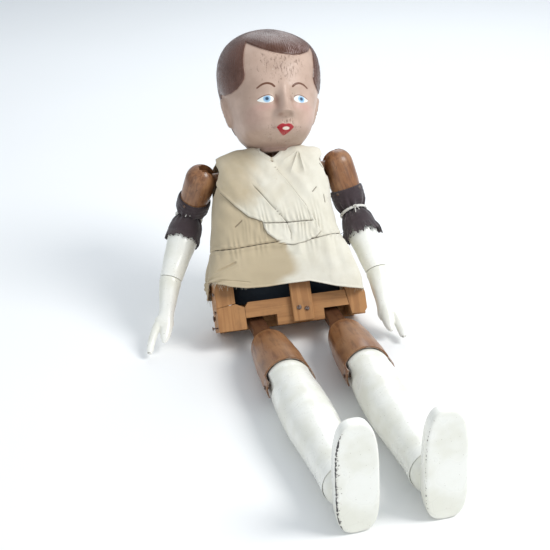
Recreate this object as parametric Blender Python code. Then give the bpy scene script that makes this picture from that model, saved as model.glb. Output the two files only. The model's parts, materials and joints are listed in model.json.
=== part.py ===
"""Jointed wooden child lay figure, seated with its legs forward and its back leaning.

World frame: metres, +Z up, the figure faces -Y and its left side is towards +X. The origin is on
the ground under the flat that is planed on the lower back edge of the pelvis.
Torso frame: the same axes tilted back by LEAN, so z runs up the spine and the back plane is y = 0.
Limb frames: z runs up the limb towards the body, y points to its back, and the origin is the joint.
"""

import math

import bmesh
import bpy
from mathutils import Matrix, Vector

MM = 0.001
GAP = 0.35 * MM
ROUND = 20
SMALL_ROUND = 8

# Torso and pelvis
LEAN = math.radians(28.8)
SEAT_DROP = 4.0 * MM
TORSO_DEPTH = 65.0 * MM
PELVIS_HALF = 83.0 * MM
RAIL_THICK = 11.0 * MM
RAIL_TOP = 29.0 * MM
NOTCH_TOP = 12.0 * MM
NOTCH_RIGHT_EDGE = -18.0 * MM
NOTCH_LEFT = (34.6 * MM, 63.2 * MM)
BLOCK_RIGHT_IN = -52.4 * MM
BLOCK_LEFT_IN = 65.4 * MM
SIDE_BOARD = 15.0 * MM
STILE_TOP = 60.0 * MM
SIDE_BOARD_TOP = {"right": 60.0 * MM, "left": 32.0 * MM}
SLAT_X = 10.5 * MM
SLAT_WIDTH = 23.0 * MM
SLAT_THICK = 6.0 * MM
SHOULDER_Z = 173.0 * MM
SHOULDER_Y = -32.5 * MM
SHOULDER_X = 79.0 * MM
SHOULDER_BOARD_HALF = 50.0 * MM
PEG_R = 5.5 * MM
PEG_START = 13.0 * MM
TONGUE_THICK = 7.0 * MM

# Head and neck
NECK_X = 6.0 * MM
NECK_Y = -38.0 * MM
NECK_BALL_Z = 176.0 * MM
NECK_BALL_R = 9.0 * MM
NECK_PEG_R = 6.0 * MM
NECK_PEG_TOP = 32.0 * MM
HEAD_TURN = math.radians(4.0)
HEAD_ROLL = math.radians(4.5)
EAR = (55.0 * MM, -2.0 * MM, 62.0 * MM)
EAR_SIZE = (6.0 * MM, 9.0 * MM, 18.0 * MM)

# Legs
HIP_X = 42.5 * MM
HIP_Y = -32.5 * MM
HIP_Z = 16.0 * MM
KNEE_HEIGHT = 26.6 * MM
THIGH = 157.0 * MM
SHIN = 208.0 * MM
LEG_SWAY = {"right": 0.0853, "left": 0.0620}
TONGUE_WIDTH = 17.6 * MM
TONGUE_HALF_THICK = 5.8 * MM
THIGH_R = 25.5 * MM
THIGH_START = 60.0 * MM
KNEE_R = 23.6 * MM
KNEE_FLAT = 19.6 * MM
CALF_R = 25.6 * MM
ANKLE_DROP = 174.0 * MM
ANKLE_R = 19.0 * MM
SOLE_LENGTH = 115.0 * MM
SOLE_WIDTH = 39.0 * MM
HEEL_BACK = KNEE_HEIGHT
SOCKET_PLAY = 1.0 * MM
CHEEK_HALF = 9.0 * MM
PIN_R = 2.0 * MM
AXLE_PLAY = 1.3 * MM
ANKLE_LIP = 6.0 * MM
ANKLE_BARREL_R = 20.5 * MM
ANKLE_BARREL_HALF = 16.4 * MM

# Nails
NAIL_HEAD = 1.2 * MM
AXLE_PROUD = {"right": 1.5 * MM, "left": 0.4 * MM}
SIDE_NAILS = ((-59.0 * MM, 42.0 * MM, 2.4 * MM), (-58.0 * MM, 22.0 * MM, 2.4 * MM),
              (-59.0 * MM, 5.0 * MM, 7.0 * MM))
SLAT_NAILS = ((-4.0 * MM, 16.0 * MM), (4.5 * MM, 14.0 * MM))
TACK_ANGLES = (math.radians(-135), math.radians(-50))

# Arms: where the elbow ties and the fingertips rest, in the world
ELBOW = {"right": (-93.6, 71.5, 115.8), "left": (90.5, 35.5, 113.4)}
FINGERTIP = {"right": (-162.0, -44.2, 3.5), "left": (116.0, -86.0, 3.5)}
UPPER_ARM_R = 18.2 * MM
UPPER_ARM_END_R = 16.6 * MM
ELBOW_CLEAR = 8.5 * MM
FOREARM_R = 17.6 * MM
SEAM_AT = 0.47
DOWEL_R = 4.0 * MM
DOWEL_UP = 16.0 * MM
DOWEL_DOWN = 14.0 * MM
CLOTH = 1.4 * MM
STRING_R = 1.0 * MM
STRING_TURN_R = 6.2 * MM

# Tunic
TUNIC_WALL = 2.4 * MM
HEM_SLANT = -0.165
COLLAR_R = 33.0 * MM
ARMHOLE_R = 19.5 * MM
TUNIC_SECTIONS = [
    # height, right, left, front, back (all in millimetres) and boxiness
    (40, -87, 88, -80, 8, 8.0), (62, -86, 77.5, -81, 8, 8.0), (90, -79, 68.5, -79, 7, 3.6),
    (120, -73, 63, -76, 6, 3.0), (150, -65, 61, -70, 5, 3.0), (172, -58, 57, -63, 4, 3.4),
    (186, -56, 56, -60, 2, 3.4), (192, -48, 48, -57, -4, 3.0), (196, -38, 38, -54, -12, 2.6),
]
TUNIC_INNER_TOP = (190.5, -50, 50, -57, -3, 3.2)
PADDING_SECTIONS = [
    (35, -48, 48, -50, -13, 3.0), (60, -58, 58, -62, -13, 3.0), (110, -58, 54, -63, -13, 3.0),
    (158, -48, 48, -54, -13, 3.0),
]
HEAD_SECTIONS = [
    # height above the neck ball, half width, front and back, in millimetres
    (15.5, 24.5, -21, 23), (20, 25, -22, 24), (25, 29, -44, 27), (31, 38, -60, 34),
    (42, 47, -67, 44), (56, 52.5, -69, 52), (72, 56, -68, 57), (90, 58.5, -66, 60),
    (108, 58.5, -63, 60), (124, 55, -56, 56), (138, 47, -44, 48), (149, 34, -28, 35),
    (156, 18, -10, 20),
]
HEAD_TOP = 158.5 * MM

SIDES = {"right": -1, "left": 1}


def clear_scene():
    for old in list(bpy.data.objects):
        bpy.data.objects.remove(old, do_unlink=True)


def make_material(name, colour, roughness, metallic=0.0):
    material = bpy.data.materials.new(name)
    material.use_nodes = True
    shader = material.node_tree.nodes["Principled BSDF"]
    shader.inputs["Base Color"].default_value = (*colour, 1.0)
    shader.inputs["Roughness"].default_value = roughness
    shader.inputs["Metallic"].default_value = metallic
    return material


def make_materials():
    return {
        "pine": make_material("pine", (0.46, 0.26, 0.12), 0.55),
        "varnish": make_material("varnished_wood", (0.27, 0.12, 0.045), 0.35),
        "paint": make_material("cream_paint", (0.82, 0.83, 0.78), 0.3),
        "skin": make_material("face_paint", (0.47, 0.34, 0.29), 0.5),
        "cloth": make_material("elbow_cloth", (0.07, 0.05, 0.055), 0.9),
        "linen": make_material("linen", (0.66, 0.58, 0.45), 0.9),
        "lining": make_material("dark_lining", (0.03, 0.04, 0.06), 0.9),
        "string": make_material("string", (0.8, 0.8, 0.76), 0.8),
        "steel": make_material("nail_steel", (0.24, 0.22, 0.2), 0.45, 0.9),
    }


def make_joint(name, matrix):
    """An empty on a joint; the pieces of the body that it moves are parented to it."""
    empty = bpy.data.objects.new(name, None)
    bpy.context.scene.collection.objects.link(empty)
    empty.matrix_world = matrix
    return empty


def make_object(name, mesh_data, parent, material=None):
    obj = bpy.data.objects.new(name, mesh_data)
    bpy.context.scene.collection.objects.link(obj)
    obj.parent = parent
    if material is not None:
        mesh_data.materials.append(material)
    return obj


def mesh_from(name, bm, smooth=False):
    bmesh.ops.remove_doubles(bm, verts=bm.verts, dist=1e-7)
    bmesh.ops.recalc_face_normals(bm, faces=bm.faces)
    mesh = bpy.data.meshes.new(name)
    bm.to_mesh(mesh)
    bm.free()
    if smooth:
        mesh.shade_smooth()
        mesh.set_sharp_from_angle(angle=math.radians(40))
    return mesh


def add_loft(bm, rings):
    """Skins rings of equally many points, and closes both ends. A ring of one point is a tip."""
    layers = [[bm.verts.new(point) for point in ring] for ring in rings]
    for low, high in zip(layers, layers[1:]):
        count = max(len(low), len(high))
        for i in range(count):
            j = (i + 1) % count
            corners = [low[i % len(low)], low[j % len(low)], high[j % len(high)], high[i % len(high)]]
            distinct = list(dict.fromkeys(corners))
            bm.faces.new(distinct)
    for ring in (layers[0], layers[-1]):
        if len(ring) > 2:
            bm.faces.new(ring)


def ring_z(z, half_x, half_y, count=ROUND, centre=(0.0, 0.0), power=2.0):
    """A superellipse ring around z: power 2 is an ellipse, and more is boxier."""
    points = []
    for i in range(count):
        angle = 2 * math.pi * i / count
        cos_a = math.cos(angle)
        sin_a = math.sin(angle)
        x = math.copysign(abs(cos_a) ** (2 / power), cos_a) * half_x
        y = math.copysign(abs(sin_a) ** (2 / power), sin_a) * half_y
        points.append((centre[0] + x, centre[1] + y, z))
    return points


def turned(name, profile, parent, material, count=ROUND):
    """A turned piece from (z, radius) pairs; a radius of zero makes a pointed end."""
    rings = [ring_z(z, r, r, count) if r > 0 else [(0.0, 0.0, z)] for z, r in profile]
    bm = bmesh.new()
    add_loft(bm, rings)
    return make_object(name, mesh_from(name, bm, smooth=True), parent, material)


def dome(centre_z, radius, start_deg, end_deg, steps):
    """(z, r) points on a ball, by latitude from start to end."""
    points = []
    for i in range(steps + 1):
        latitude = math.radians(start_deg + (end_deg - start_deg) * i / steps)
        across = radius * math.cos(latitude)
        points.append((centre_z + radius * math.sin(latitude), across if across > 1e-6 else 0.0))
    return points


def add_box(bm, low, high):
    size = [h - l for l, h in zip(low, high)]
    centre = [(h + l) / 2 for l, h in zip(low, high)]
    matrix = Matrix.Translation(centre) @ Matrix.Diagonal((*size, 1.0))
    bmesh.ops.create_cube(bm, size=1.0, matrix=matrix)


def box(name, low, high, parent, material, bevel=0.8 * MM):
    bm = bmesh.new()
    add_box(bm, low, high)
    obj = make_object(name, mesh_from(name, bm), parent, material)
    if bevel:
        rounding = obj.modifiers.new("edges", "BEVEL")
        rounding.width = bevel
        rounding.segments = 1
    return obj


def board(name, outline, y_front, y_back, parent, material):
    """A flat board: an outline in x and z, cut from stock between two y planes."""
    bm = bmesh.new()
    front = [bm.verts.new((x, y_front, z)) for x, z in outline]
    face = bm.faces.new(front)
    moved = bmesh.ops.extrude_face_region(bm, geom=[face])["geom"]
    verts = [item for item in moved if isinstance(item, bmesh.types.BMVert)]
    bmesh.ops.translate(bm, verts=verts, vec=(0.0, y_back - y_front, 0.0))
    return make_object(name, mesh_from(name, bm), parent, material)


def cutter(name, bm, parent):
    obj = make_object(name, mesh_from(name, bm), parent)
    obj.hide_render = True
    obj.display_type = "WIRE"
    return obj


def rod_mesh(bm, start, end, radius, count=SMALL_ROUND):
    """Adds a straight round rod between two points."""
    start = Vector(start)
    span = Vector(end) - start
    turn = span.to_track_quat("Z", "Y").to_matrix().to_4x4()
    matrix = Matrix.Translation(start + span / 2) @ turn
    bmesh.ops.create_cone(bm, cap_ends=True, segments=count, radius1=radius, radius2=radius,
                          depth=span.length, matrix=matrix)


def rod_cutter(name, start, end, radius, parent, count=SMALL_ROUND):
    bm = bmesh.new()
    rod_mesh(bm, start, end, radius, count)
    return cutter(name, bm, parent)


def box_cutter(name, corner, opposite, parent):
    """A box between two opposite corners, given in any order."""
    low = [min(pair) for pair in zip(corner, opposite)]
    high = [max(pair) for pair in zip(corner, opposite)]
    bm = bmesh.new()
    add_box(bm, low, high)
    return cutter(name, bm, parent)


def ball_cutter(name, centre, radius, parent, squash=(1.0, 1.0, 1.0)):
    bm = bmesh.new()
    matrix = Matrix.Translation(centre) @ Matrix.Diagonal((*squash, 1.0))
    bmesh.ops.create_uvsphere(bm, u_segments=ROUND, v_segments=ROUND // 2, radius=radius, matrix=matrix)
    return cutter(name, bm, parent)


def cut(obj, *tools):
    for tool in tools:
        modifier = obj.modifiers.new(tool.name, "BOOLEAN")
        modifier.operation = "DIFFERENCE"
        modifier.object = tool


def unite(obj, *tools):
    for tool in tools:
        modifier = obj.modifiers.new(tool.name, "BOOLEAN")
        modifier.operation = "UNION"
        modifier.object = tool


def nail(name, head_centre, direction, length, head_r, shank_r, parent, mats):
    """A round-headed nail whose head starts at head_centre and whose shank runs along direction."""
    direction = Vector(direction).normalized()
    turn = direction.to_track_quat("Z", "Y").to_matrix().to_4x4()
    place = Matrix.Translation(head_centre) @ turn
    head = min(NAIL_HEAD, length * 0.7)
    radii = [(0.0, head_r), (head, head_r), (head, shank_r), (length, shank_r)]
    rings = [[place @ Vector(p) for p in ring_z(z, r, r, SMALL_ROUND)] for z, r in radii]
    bm = bmesh.new()
    add_loft(bm, rings)
    make_object(name, mesh_from(name, bm, smooth=True), parent, mats["steel"])


# ---------------------------------------------------------------- pelvis and torso frame

def make_pelvis(torso, mats):
    front = -TORSO_DEPTH
    back_of_rail = front + RAIL_THICK
    right_out = NOTCH_RIGHT_EDGE
    left_in, left_out = NOTCH_LEFT
    rail_end = BLOCK_RIGHT_IN + GAP
    rail = [
        (rail_end, RAIL_TOP - 5 * MM), (rail_end, NOTCH_TOP), (right_out, NOTCH_TOP), (right_out, 0.0),
        (left_in, 0.0), (left_in, NOTCH_TOP), (left_out, NOTCH_TOP), (left_out - 3 * MM, RAIL_TOP),
        (rail_end + 4 * MM, RAIL_TOP),
    ]
    board("front_rail", rail, front, back_of_rail, torso, mats["pine"])

    half = PELVIS_HALF
    right_block = [(-half, 0.0), (BLOCK_RIGHT_IN, 0.0), (BLOCK_RIGHT_IN, RAIL_TOP - 5 * MM),
                   (-62.0 * MM, RAIL_TOP - GAP), (-half, RAIL_TOP - 3 * MM)]
    board("right_end_block", right_block, front, back_of_rail, torso, mats["pine"])
    stile_foot = [(-half, RAIL_TOP - 3 * MM + GAP), (-62.0 * MM, RAIL_TOP + GAP), (-62.0 * MM, STILE_TOP),
                  (-half, STILE_TOP)]
    board("right_stile", stile_foot, front, back_of_rail, torso, mats["pine"])

    corner = [(BLOCK_LEFT_IN, 2.0 * MM), (half - 4 * MM, 1.0 * MM), (half, 6.0 * MM),
              (half, RAIL_TOP - 6 * MM)]
    for step in range(1, 5):
        angle = math.radians(90) * step / 4
        x = half - 12 * MM * (1 - math.cos(angle))
        z = RAIL_TOP - 6 * MM + 10 * MM * math.sin(angle)
        corner.append((x, z))
    corner.append((BLOCK_LEFT_IN - 5 * MM, RAIL_TOP + 4 * MM))
    board("left_end_block", corner, front, back_of_rail, torso, mats["pine"])
    left_stile = [(half - 25 * MM, RAIL_TOP + 4 * MM + GAP), (half - 13 * MM, RAIL_TOP + 4 * MM + GAP),
                  (half - 13 * MM, STILE_TOP), (half - 25 * MM, STILE_TOP)]
    board("left_stile", left_stile, front + 2 * MM, back_of_rail, torso, mats["pine"])

    side_front = back_of_rail + GAP
    back_rail_front = -RAIL_THICK
    for side, sign in SIDES.items():
        outer = sign * half
        inner = sign * (half - SIDE_BOARD)
        low = (min(outer, inner), side_front, 0.0)
        high = (max(outer, inner), back_rail_front - GAP, SIDE_BOARD_TOP[side])
        piece = box(f"{side}_side_board", low, high, torso, mats["pine"], bevel=0.6 * MM)
        hole = rod_cutter(f"cut_{side}_axle_hole", (sign * 40 * MM, HIP_Y, HIP_Z),
                          (sign * 100 * MM, HIP_Y, HIP_Z), PIN_R + GAP, torso)
        cut(piece, hole)

    back_half = half - 5 * MM
    back_rail = box("back_rail", (-back_half, back_rail_front, -1.0 * MM), (back_half, 0.0, RAIL_TOP), torso,
                    mats["pine"], bevel=0)
    ground = box_cutter("cut_ground", (-0.1, -0.1, -0.05), (0.1, 0.1, 0.0), None)
    cut(back_rail, ground)

    slat_low = (SLAT_X - SLAT_WIDTH / 2, front - SLAT_THICK, 1.0 * MM)
    slat_high = (SLAT_X + SLAT_WIDTH / 2, front - GAP, 100.0 * MM)
    box("centre_slat", slat_low, slat_high, torso, mats["pine"], bevel=0.8 * MM)
    centre = box("centre_block", (NOTCH_RIGHT_EDGE + 6 * MM, back_of_rail + GAP, 1.0 * MM),
                 (NOTCH_LEFT[0] - 6 * MM, back_rail_front - GAP, RAIL_TOP), torso, mats["pine"])
    reach = rod_cutter("cut_centre_axle", (-60 * MM, HIP_Y, HIP_Z), (80 * MM, HIP_Y, HIP_Z),
                       PIN_R + GAP, torso)
    cut(centre, reach)
    make_pelvis_nails(torso, mats)


def make_pelvis_nails(torso, mats):
    """The hip axle nails, the nails down the figure's right side, and the two in the slat."""
    for side, sign in SIDES.items():
        proud = AXLE_PROUD[side] + NAIL_HEAD
        head = (sign * (PELVIS_HALF + proud), HIP_Y, HIP_Z)
        end_x = SLAT_X + sign * 4 * MM
        nail(f"{side}_hip_axle", head, (-sign, 0, 0), abs(head[0] - end_x), 3.6 * MM, PIN_R, torso, mats)

    for number, (y, z, proud) in enumerate(SIDE_NAILS, 1):
        start = (-PELVIS_HALF - proud, y, z)
        nail(f"side_nail_{number}", start, (1, 0, 0), proud - GAP, 2.4 * MM, 1.0 * MM, torso, mats)

    slat_face = -TORSO_DEPTH - SLAT_THICK
    for number, (x, z) in enumerate(SLAT_NAILS, 1):
        start = (SLAT_X + x, slat_face - 1.3 * MM, z)
        nail(f"slat_nail_{number}", start, (0, 1, 0), 1.0 * MM, 2.6 * MM, 1.0 * MM, torso, mats)


def make_torso(torso, mats):
    box("back_board", (-36 * MM, -RAIL_THICK, RAIL_TOP + GAP), (36 * MM, -1.0 * MM, 160 * MM), torso,
        mats["pine"])
    shoulder = box("shoulder_board", (-SHOULDER_BOARD_HALF, -51 * MM, 160.4 * MM),
                   (SHOULDER_BOARD_HALF, -10 * MM, 186 * MM), torso, mats["pine"], bevel=5 * MM)
    for side, sign in SIDES.items():
        hole = rod_cutter(f"cut_{side}_peg_hole", (sign * 23 * MM, SHOULDER_Y, SHOULDER_Z),
                          (sign * 90 * MM, SHOULDER_Y, SHOULDER_Z), PEG_R + GAP, torso, 20)
        cut(shoulder, hole)
    socket = ball_cutter("cut_neck_socket", (NECK_X, NECK_Y, NECK_BALL_Z), NECK_BALL_R + GAP, torso)
    mouth = rod_cutter("cut_neck_mouth", (NECK_X, NECK_Y, NECK_BALL_Z), (NECK_X, NECK_Y, 0.22),
                       8.2 * MM, torso, 20)
    cut(shoulder, socket, mouth)
    make_lining(torso, mats)
    make_tunic(torso, mats)


def torso_ring(section, inset=0.0):
    """A ring from a section in millimetres: height, right, left, front, back and boxiness."""
    z, x_right, x_left, y_front, y_back, power = section
    width = (x_left - x_right) / 2 * MM - inset
    depth = (y_back - y_front) / 2 * MM - inset
    centre = ((x_left + x_right) / 2 * MM, (y_back + y_front) / 2 * MM)
    return ring_z(z * MM, width, depth, 28, centre, power)


def make_lining(torso, mats):
    """The dark stuffed cloth body inside the tunic, between the back board and the front."""
    bm = bmesh.new()
    add_loft(bm, [torso_ring(section) for section in PADDING_SECTIONS])
    make_object("body_padding", mesh_from("body_padding", bm, smooth=True), torso, mats["lining"])


def make_tunic(torso, mats):
    """A sleeveless wrap-over tunic: a shell that is open at the hem, neck and armholes."""
    bm = bmesh.new()
    rings = [torso_ring(section) for section in TUNIC_SECTIONS]
    rings[0] = [(x, y, z + HEM_SLANT * x) for x, y, z in rings[0]]
    add_loft(bm, rings)
    tunic = make_object("tunic", mesh_from("tunic", bm, smooth=True), torso, mats["linen"])
    hollow = bmesh.new()
    rings = [torso_ring(section, TUNIC_WALL) for section in TUNIC_SECTIONS[:-2] + [TUNIC_INNER_TOP]]
    rings[0] = [(x, y, z + HEM_SLANT * x - 1 * MM) for x, y, z in rings[0]]
    add_loft(hollow, rings)
    neck = rod_cutter("cut_collar", (NECK_X, NECK_Y, 180 * MM), (NECK_X, NECK_Y, 220 * MM), COLLAR_R,
                      torso, ROUND)
    arms = [rod_cutter(f"cut_{side}_armhole", (sign * 44 * MM, SHOULDER_Y, SHOULDER_Z),
                       (sign * 100 * MM, SHOULDER_Y, SHOULDER_Z), ARMHOLE_R, torso, 24)
            for side, sign in SIDES.items()]
    cut(tunic, cutter("cut_tunic_inside", hollow, torso), neck, *arms)


# ---------------------------------------------------------------- head

def make_head(torso_matrix, mats):
    """The head turns on an upright peg whose ball nods in the shoulder board; it rests rolled to one side."""
    neck = torso_matrix @ Matrix.Translation((NECK_X, NECK_Y, NECK_BALL_Z))
    nod = make_joint("neck_joint", neck)
    profile = dome(0.0, NECK_BALL_R, -90, 45, 5) + [(9 * MM, NECK_PEG_R), (NECK_PEG_TOP, NECK_PEG_R)]
    turned("neck_ball_peg", profile, nod, mats["varnish"], 16)

    turn = make_joint("head_joint", neck @ Matrix.Rotation(HEAD_TURN, 4, "Z"))
    roll = Matrix.Rotation(HEAD_ROLL, 4, "Y")
    bm = bmesh.new()
    add_loft(bm, [[roll @ Vector(point) for point in ring] for ring in head_rings()])
    head = make_object("head", mesh_from("head", bm, smooth=True), turn, mats["skin"])
    bore = rod_cutter("cut_head_bore", (0, 0, -20 * MM), (0, 0, NECK_PEG_TOP + 0.5 * MM), NECK_PEG_R + GAP,
                      turn, 20)
    ears = []
    for side, sign in SIDES.items():
        bm = bmesh.new()
        place = roll @ Matrix.Translation((sign * EAR[0], EAR[1], EAR[2])) @ Matrix.Diagonal((*EAR_SIZE, 1))
        bmesh.ops.create_uvsphere(bm, u_segments=12, v_segments=8, radius=1.0, matrix=place)
        ears.append(cutter(f"add_{side}_ear", bm, turn))
    unite(head, *ears)
    cut(head, bore)


def head_rings():
    """Rings from the neck up to the crown; z = 0 is the middle of the neck ball."""
    rings = []
    for z, half, front, back in HEAD_SECTIONS:
        middle = (front + back) / 2 * MM
        rings.append(ring_z(z * MM, half * MM, (back - front) / 2 * MM, 24, (0.0, middle), 2.15))
    rings.append([(0.0, 4 * MM, HEAD_TOP)])
    return rings


# ---------------------------------------------------------------- arms

def frame_from(origin, up, side_hint):
    """A matrix at origin whose z is up and whose x is as near side_hint as it can be."""
    z = Vector(up).normalized()
    y = z.cross(Vector(side_hint)).normalized()
    x = y.cross(z)
    matrix = Matrix((x, y, z)).transposed().to_4x4()
    matrix.translation = origin
    return matrix


def arm_frames(side, torso_matrix):
    """Joint frames of one arm: the shoulder swing, the upper arm, the forearm and the wrist."""
    sign = SIDES[side]
    shoulder = torso_matrix @ Vector((sign * SHOULDER_X, SHOULDER_Y, SHOULDER_Z))
    elbow = Vector(ELBOW[side]) * MM
    tip = Vector(FINGERTIP[side]) * MM
    upper_axis = shoulder - elbow
    swing_up = Vector((0.0, upper_axis.y, upper_axis.z))
    swing = frame_from(shoulder, swing_up, (1, 0, 0))
    upper = frame_from(shoulder, upper_axis, (1, 0, 0))
    bend = upper_axis.cross(elbow - tip).normalized()
    if bend.x < 0:
        bend.negate()
    forearm = frame_from(elbow, elbow - tip, bend)
    reach = (elbow - tip).length
    wrist = forearm @ Matrix.Translation((0, 0, -reach * SEAM_AT))
    return swing, upper, forearm, wrist, upper_axis.length, reach


def make_shoulder(side, swing, mats):
    """A dowel in the shoulder board whose outer end is a flat tongue inside the arm's head."""
    sign = SIDES[side]
    joint = make_joint(f"{side}_shoulder_joint", swing)
    half = TONGUE_THICK / 2
    bm = bmesh.new()
    rod_mesh(bm, (sign * (24 * MM - SHOULDER_X), 0, 0), (-sign * PEG_START, 0, 0), PEG_R, 20)
    peg = make_object(f"{side}_shoulder_peg", mesh_from("peg", bm, smooth=True), joint, mats["varnish"])
    eye = rod_cutter(f"add_{side}_peg_eye", (0, -half, 0), (0, half, 0), 7.5 * MM, joint, 20)
    web = box_cutter(f"add_{side}_peg_web", (0, -half, -4 * MM), (-sign * (PEG_START + 1 * MM), half, 4 * MM),
                     joint)
    unite(peg, eye, web)
    hole = rod_cutter(f"cut_{side}_peg_pin", (0, -30 * MM, 0), (0, 30 * MM, 0), PIN_R + GAP, joint)
    cut(peg, hole)


def make_upper_arm(side, upper, length, mats):
    """A round-topped limb; its inner side is slotted for the shoulder's tongue and relieved for the dowel."""
    sign = SIDES[side]
    joint = make_joint(f"{side}_upper_arm_joint", upper)
    end = -(length - ELBOW_CLEAR)
    low_r = UPPER_ARM_END_R
    profile = [(end, 7 * MM), (end + 3 * MM, 12 * MM), (end + 9 * MM, low_r)]
    profile += dome(0.0, UPPER_ARM_R, 0, 90, 5)
    arm = turned(f"{side}_upper_arm", profile, joint, mats["varnish"])
    slot_half = TONGUE_THICK / 2 + 0.5 * MM
    clear = PEG_R + 1 * MM
    outside = -sign * 30 * MM
    above = 30 * MM
    slot = box_cutter(f"cut_{side}_arm_slot", (outside, -slot_half, -9.5 * MM),
                      (sign * 9 * MM, slot_half, 9.5 * MM), joint)
    top = box_cutter(f"cut_{side}_arm_slot_top", (outside, -slot_half, 0), (sign * 6 * MM, slot_half, above),
                     joint)
    inward = box_cutter(f"cut_{side}_arm_inner", (outside, -clear, -8.5 * MM),
                        (-sign * 8.8 * MM, clear, above), joint)
    upward = box_cutter(f"cut_{side}_arm_upper", (outside - sign * MM, -clear, 8.8 * MM),
                        (sign * 3 * MM, clear, above + MM), joint)
    hole = rod_cutter(f"cut_{side}_arm_pin", (0, -above, 0), (0, above, 0), PIN_R + GAP, joint)
    cut(arm, slot, top, inward, upward, hole)

    bm = bmesh.new()
    rod_mesh(bm, (0, -17.4 * MM, 0), (0, 17.4 * MM, 0), PIN_R)
    make_object(f"{side}_shoulder_pin", mesh_from("pin", bm, smooth=True), joint, mats["steel"])
    make_elbow_band(side, joint, end, low_r, mats)


def make_elbow_band(side, joint, end, arm_r, mats):
    """The cloth that is nailed around the arm's lower end, drawn in to the tie."""
    outer = [(end - 1.5 * MM, 6.8 * MM), (end + 2 * MM, 12.6 * MM), (end + 9 * MM, arm_r + CLOTH + GAP),
             (end + 19 * MM, arm_r + CLOTH + 3 * GAP)]
    inner = [(end + 19 * MM, arm_r + 3 * GAP), (end + 9 * MM, arm_r + GAP),
             (end + 3 * MM - GAP, 12 * MM + GAP), (end - GAP, 7 * MM)]
    profile = outer + inner
    bm = bmesh.new()
    rings = [ring_z(z, r, r) for z, r in profile]
    layers = [[bm.verts.new(p) for p in ring] for ring in rings]
    for low, high in zip(layers, layers[1:]):
        for i in range(ROUND):
            j = (i + 1) % ROUND
            bm.faces.new((low[i], low[j], high[j], high[i]))
    bm.faces.new(layers[0])
    bm.faces.new(layers[-1])
    make_object(f"{side}_elbow_band", mesh_from("band", bm, smooth=True), joint, mats["cloth"])

    face_r = arm_r + CLOTH + 3 * GAP
    for number, angle in enumerate(TACK_ANGLES, 1):
        out = Vector((math.cos(angle), math.sin(angle), 0.0))
        start = out * (face_r + 1.1 * MM) + Vector((0, 0, end + 14 * MM))
        nail(f"{side}_elbow_tack_{number}", start, -out, 1.0 * MM, 1.8 * MM, 0.9 * MM, joint, mats)


def make_forearm(side, forearm, reach, mats):
    joint = make_joint(f"{side}_elbow_joint", forearm)
    seam = -reach * SEAM_AT
    top = -ELBOW_CLEAR - 3 * MM
    profile = [(seam, 12.6 * MM), (seam + 30 * MM, 15.2 * MM), (top - 21 * MM, FOREARM_R),
               (top - 10 * MM, FOREARM_R - 1.2 * MM), (top - 3 * MM, 12.5 * MM), (top, 7 * MM)]
    arm = turned(f"{side}_forearm", profile, joint, mats["paint"])
    hole = rod_cutter(f"cut_{side}_dowel_hole", (0, 0, seam - 10 * MM), (0, 0, seam + DOWEL_UP + 0.5 * MM),
                      DOWEL_R + GAP, joint)
    cut(arm, hole)

    outer = [(top + 2.6 * MM, 4.5 * MM), (top + 1.8 * MM, 8 * MM), (top - 2 * MM, 14.4 * MM),
             (top - 10 * MM, FOREARM_R + 0.6 * MM), (top - 21 * MM, FOREARM_R + 2.0 * MM)]
    inner = [(top - 21 * MM, FOREARM_R + GAP + 0.1 * MM), (top - 10 * MM, FOREARM_R - 1.2 * MM + 2 * GAP),
             (top - 3 * MM + GAP, 12.5 * MM + GAP), (top + GAP, 7 * MM)]
    turned(f"{side}_elbow_cap", outer + inner, joint, mats["cloth"])

    bm = bmesh.new()
    bmesh.ops.create_circle(bm, segments=6, radius=STRING_R,
                            matrix=Matrix.Translation((STRING_TURN_R, 0, top + 4.6 * MM))
                            @ Matrix.Rotation(math.radians(90), 4, "X"))
    bmesh.ops.spin(bm, geom=bm.edges[:], cent=(0, 0, 0), axis=(0, 0, 1), angle=2 * math.pi, steps=14,
                   use_merge=True)
    make_object(f"{side}_elbow_string", mesh_from("string", bm, smooth=True), joint, mats["string"])


def make_hand(side, wrist, reach, mats):
    sign = SIDES[side]
    joint = make_joint(f"{side}_wrist_joint", wrist)
    bm = bmesh.new()
    rod_mesh(bm, (0, 0, -DOWEL_DOWN), (0, 0, DOWEL_UP), DOWEL_R)
    make_object(f"{side}_wrist_dowel", mesh_from("dowel", bm, smooth=True), joint, mats["varnish"])

    length = reach * (1 - SEAM_AT) / MM
    sections = [
        # distance down, half width, half depth and how far forward, in millimetres
        (GAP / MM, 12.4, 12.4, 0), (20, 10.6, 10.4, 0), (38, 8.2, 7.6, 0), (46, 9.5, 7.4, 0),
        (56, 12.5, 6.6, 0.6), (length - 22, 12.0, 5.6, 1.6), (length - 12, 10.5, 5.0, 1.0),
        (length - 4, 8.5, 4.2, -1.5), (length - 0.5, 5.0, 2.8, -3.5),
    ]
    rings = [ring_z(-down * MM, width * MM, depth * MM, 16, (0, forward * MM), 2.4)
             for down, width, depth, forward in sections]
    add = bmesh.new()
    add_loft(add, rings)
    hand = make_object(f"{side}_hand", mesh_from("hand", add, smooth=True), joint, mats["paint"])
    bm = bmesh.new()
    thumb = [
        # distance down, radius, sideways and forward, in millimetres
        (46, 3.5, 6, -3), (56, 4.6, 12, -6), (66, 4.4, 15, -9), (74, 3.6, 16, -11), (78, 1.6, 16, -12),
    ]
    add_loft(bm, [ring_z(-down * MM, r * MM, r * MM, 8, (-sign * side_on * MM, forward * MM))
                  for down, r, side_on, forward in thumb])
    unite(hand, cutter(f"add_{side}_thumb", bm, joint))
    hole = rod_cutter(f"cut_{side}_hand_hole", (0, 0, -DOWEL_DOWN - 0.5 * MM), (0, 0, 20 * MM),
                      DOWEL_R + GAP, joint)
    cut(hand, hole)


# ---------------------------------------------------------------- legs

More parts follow.
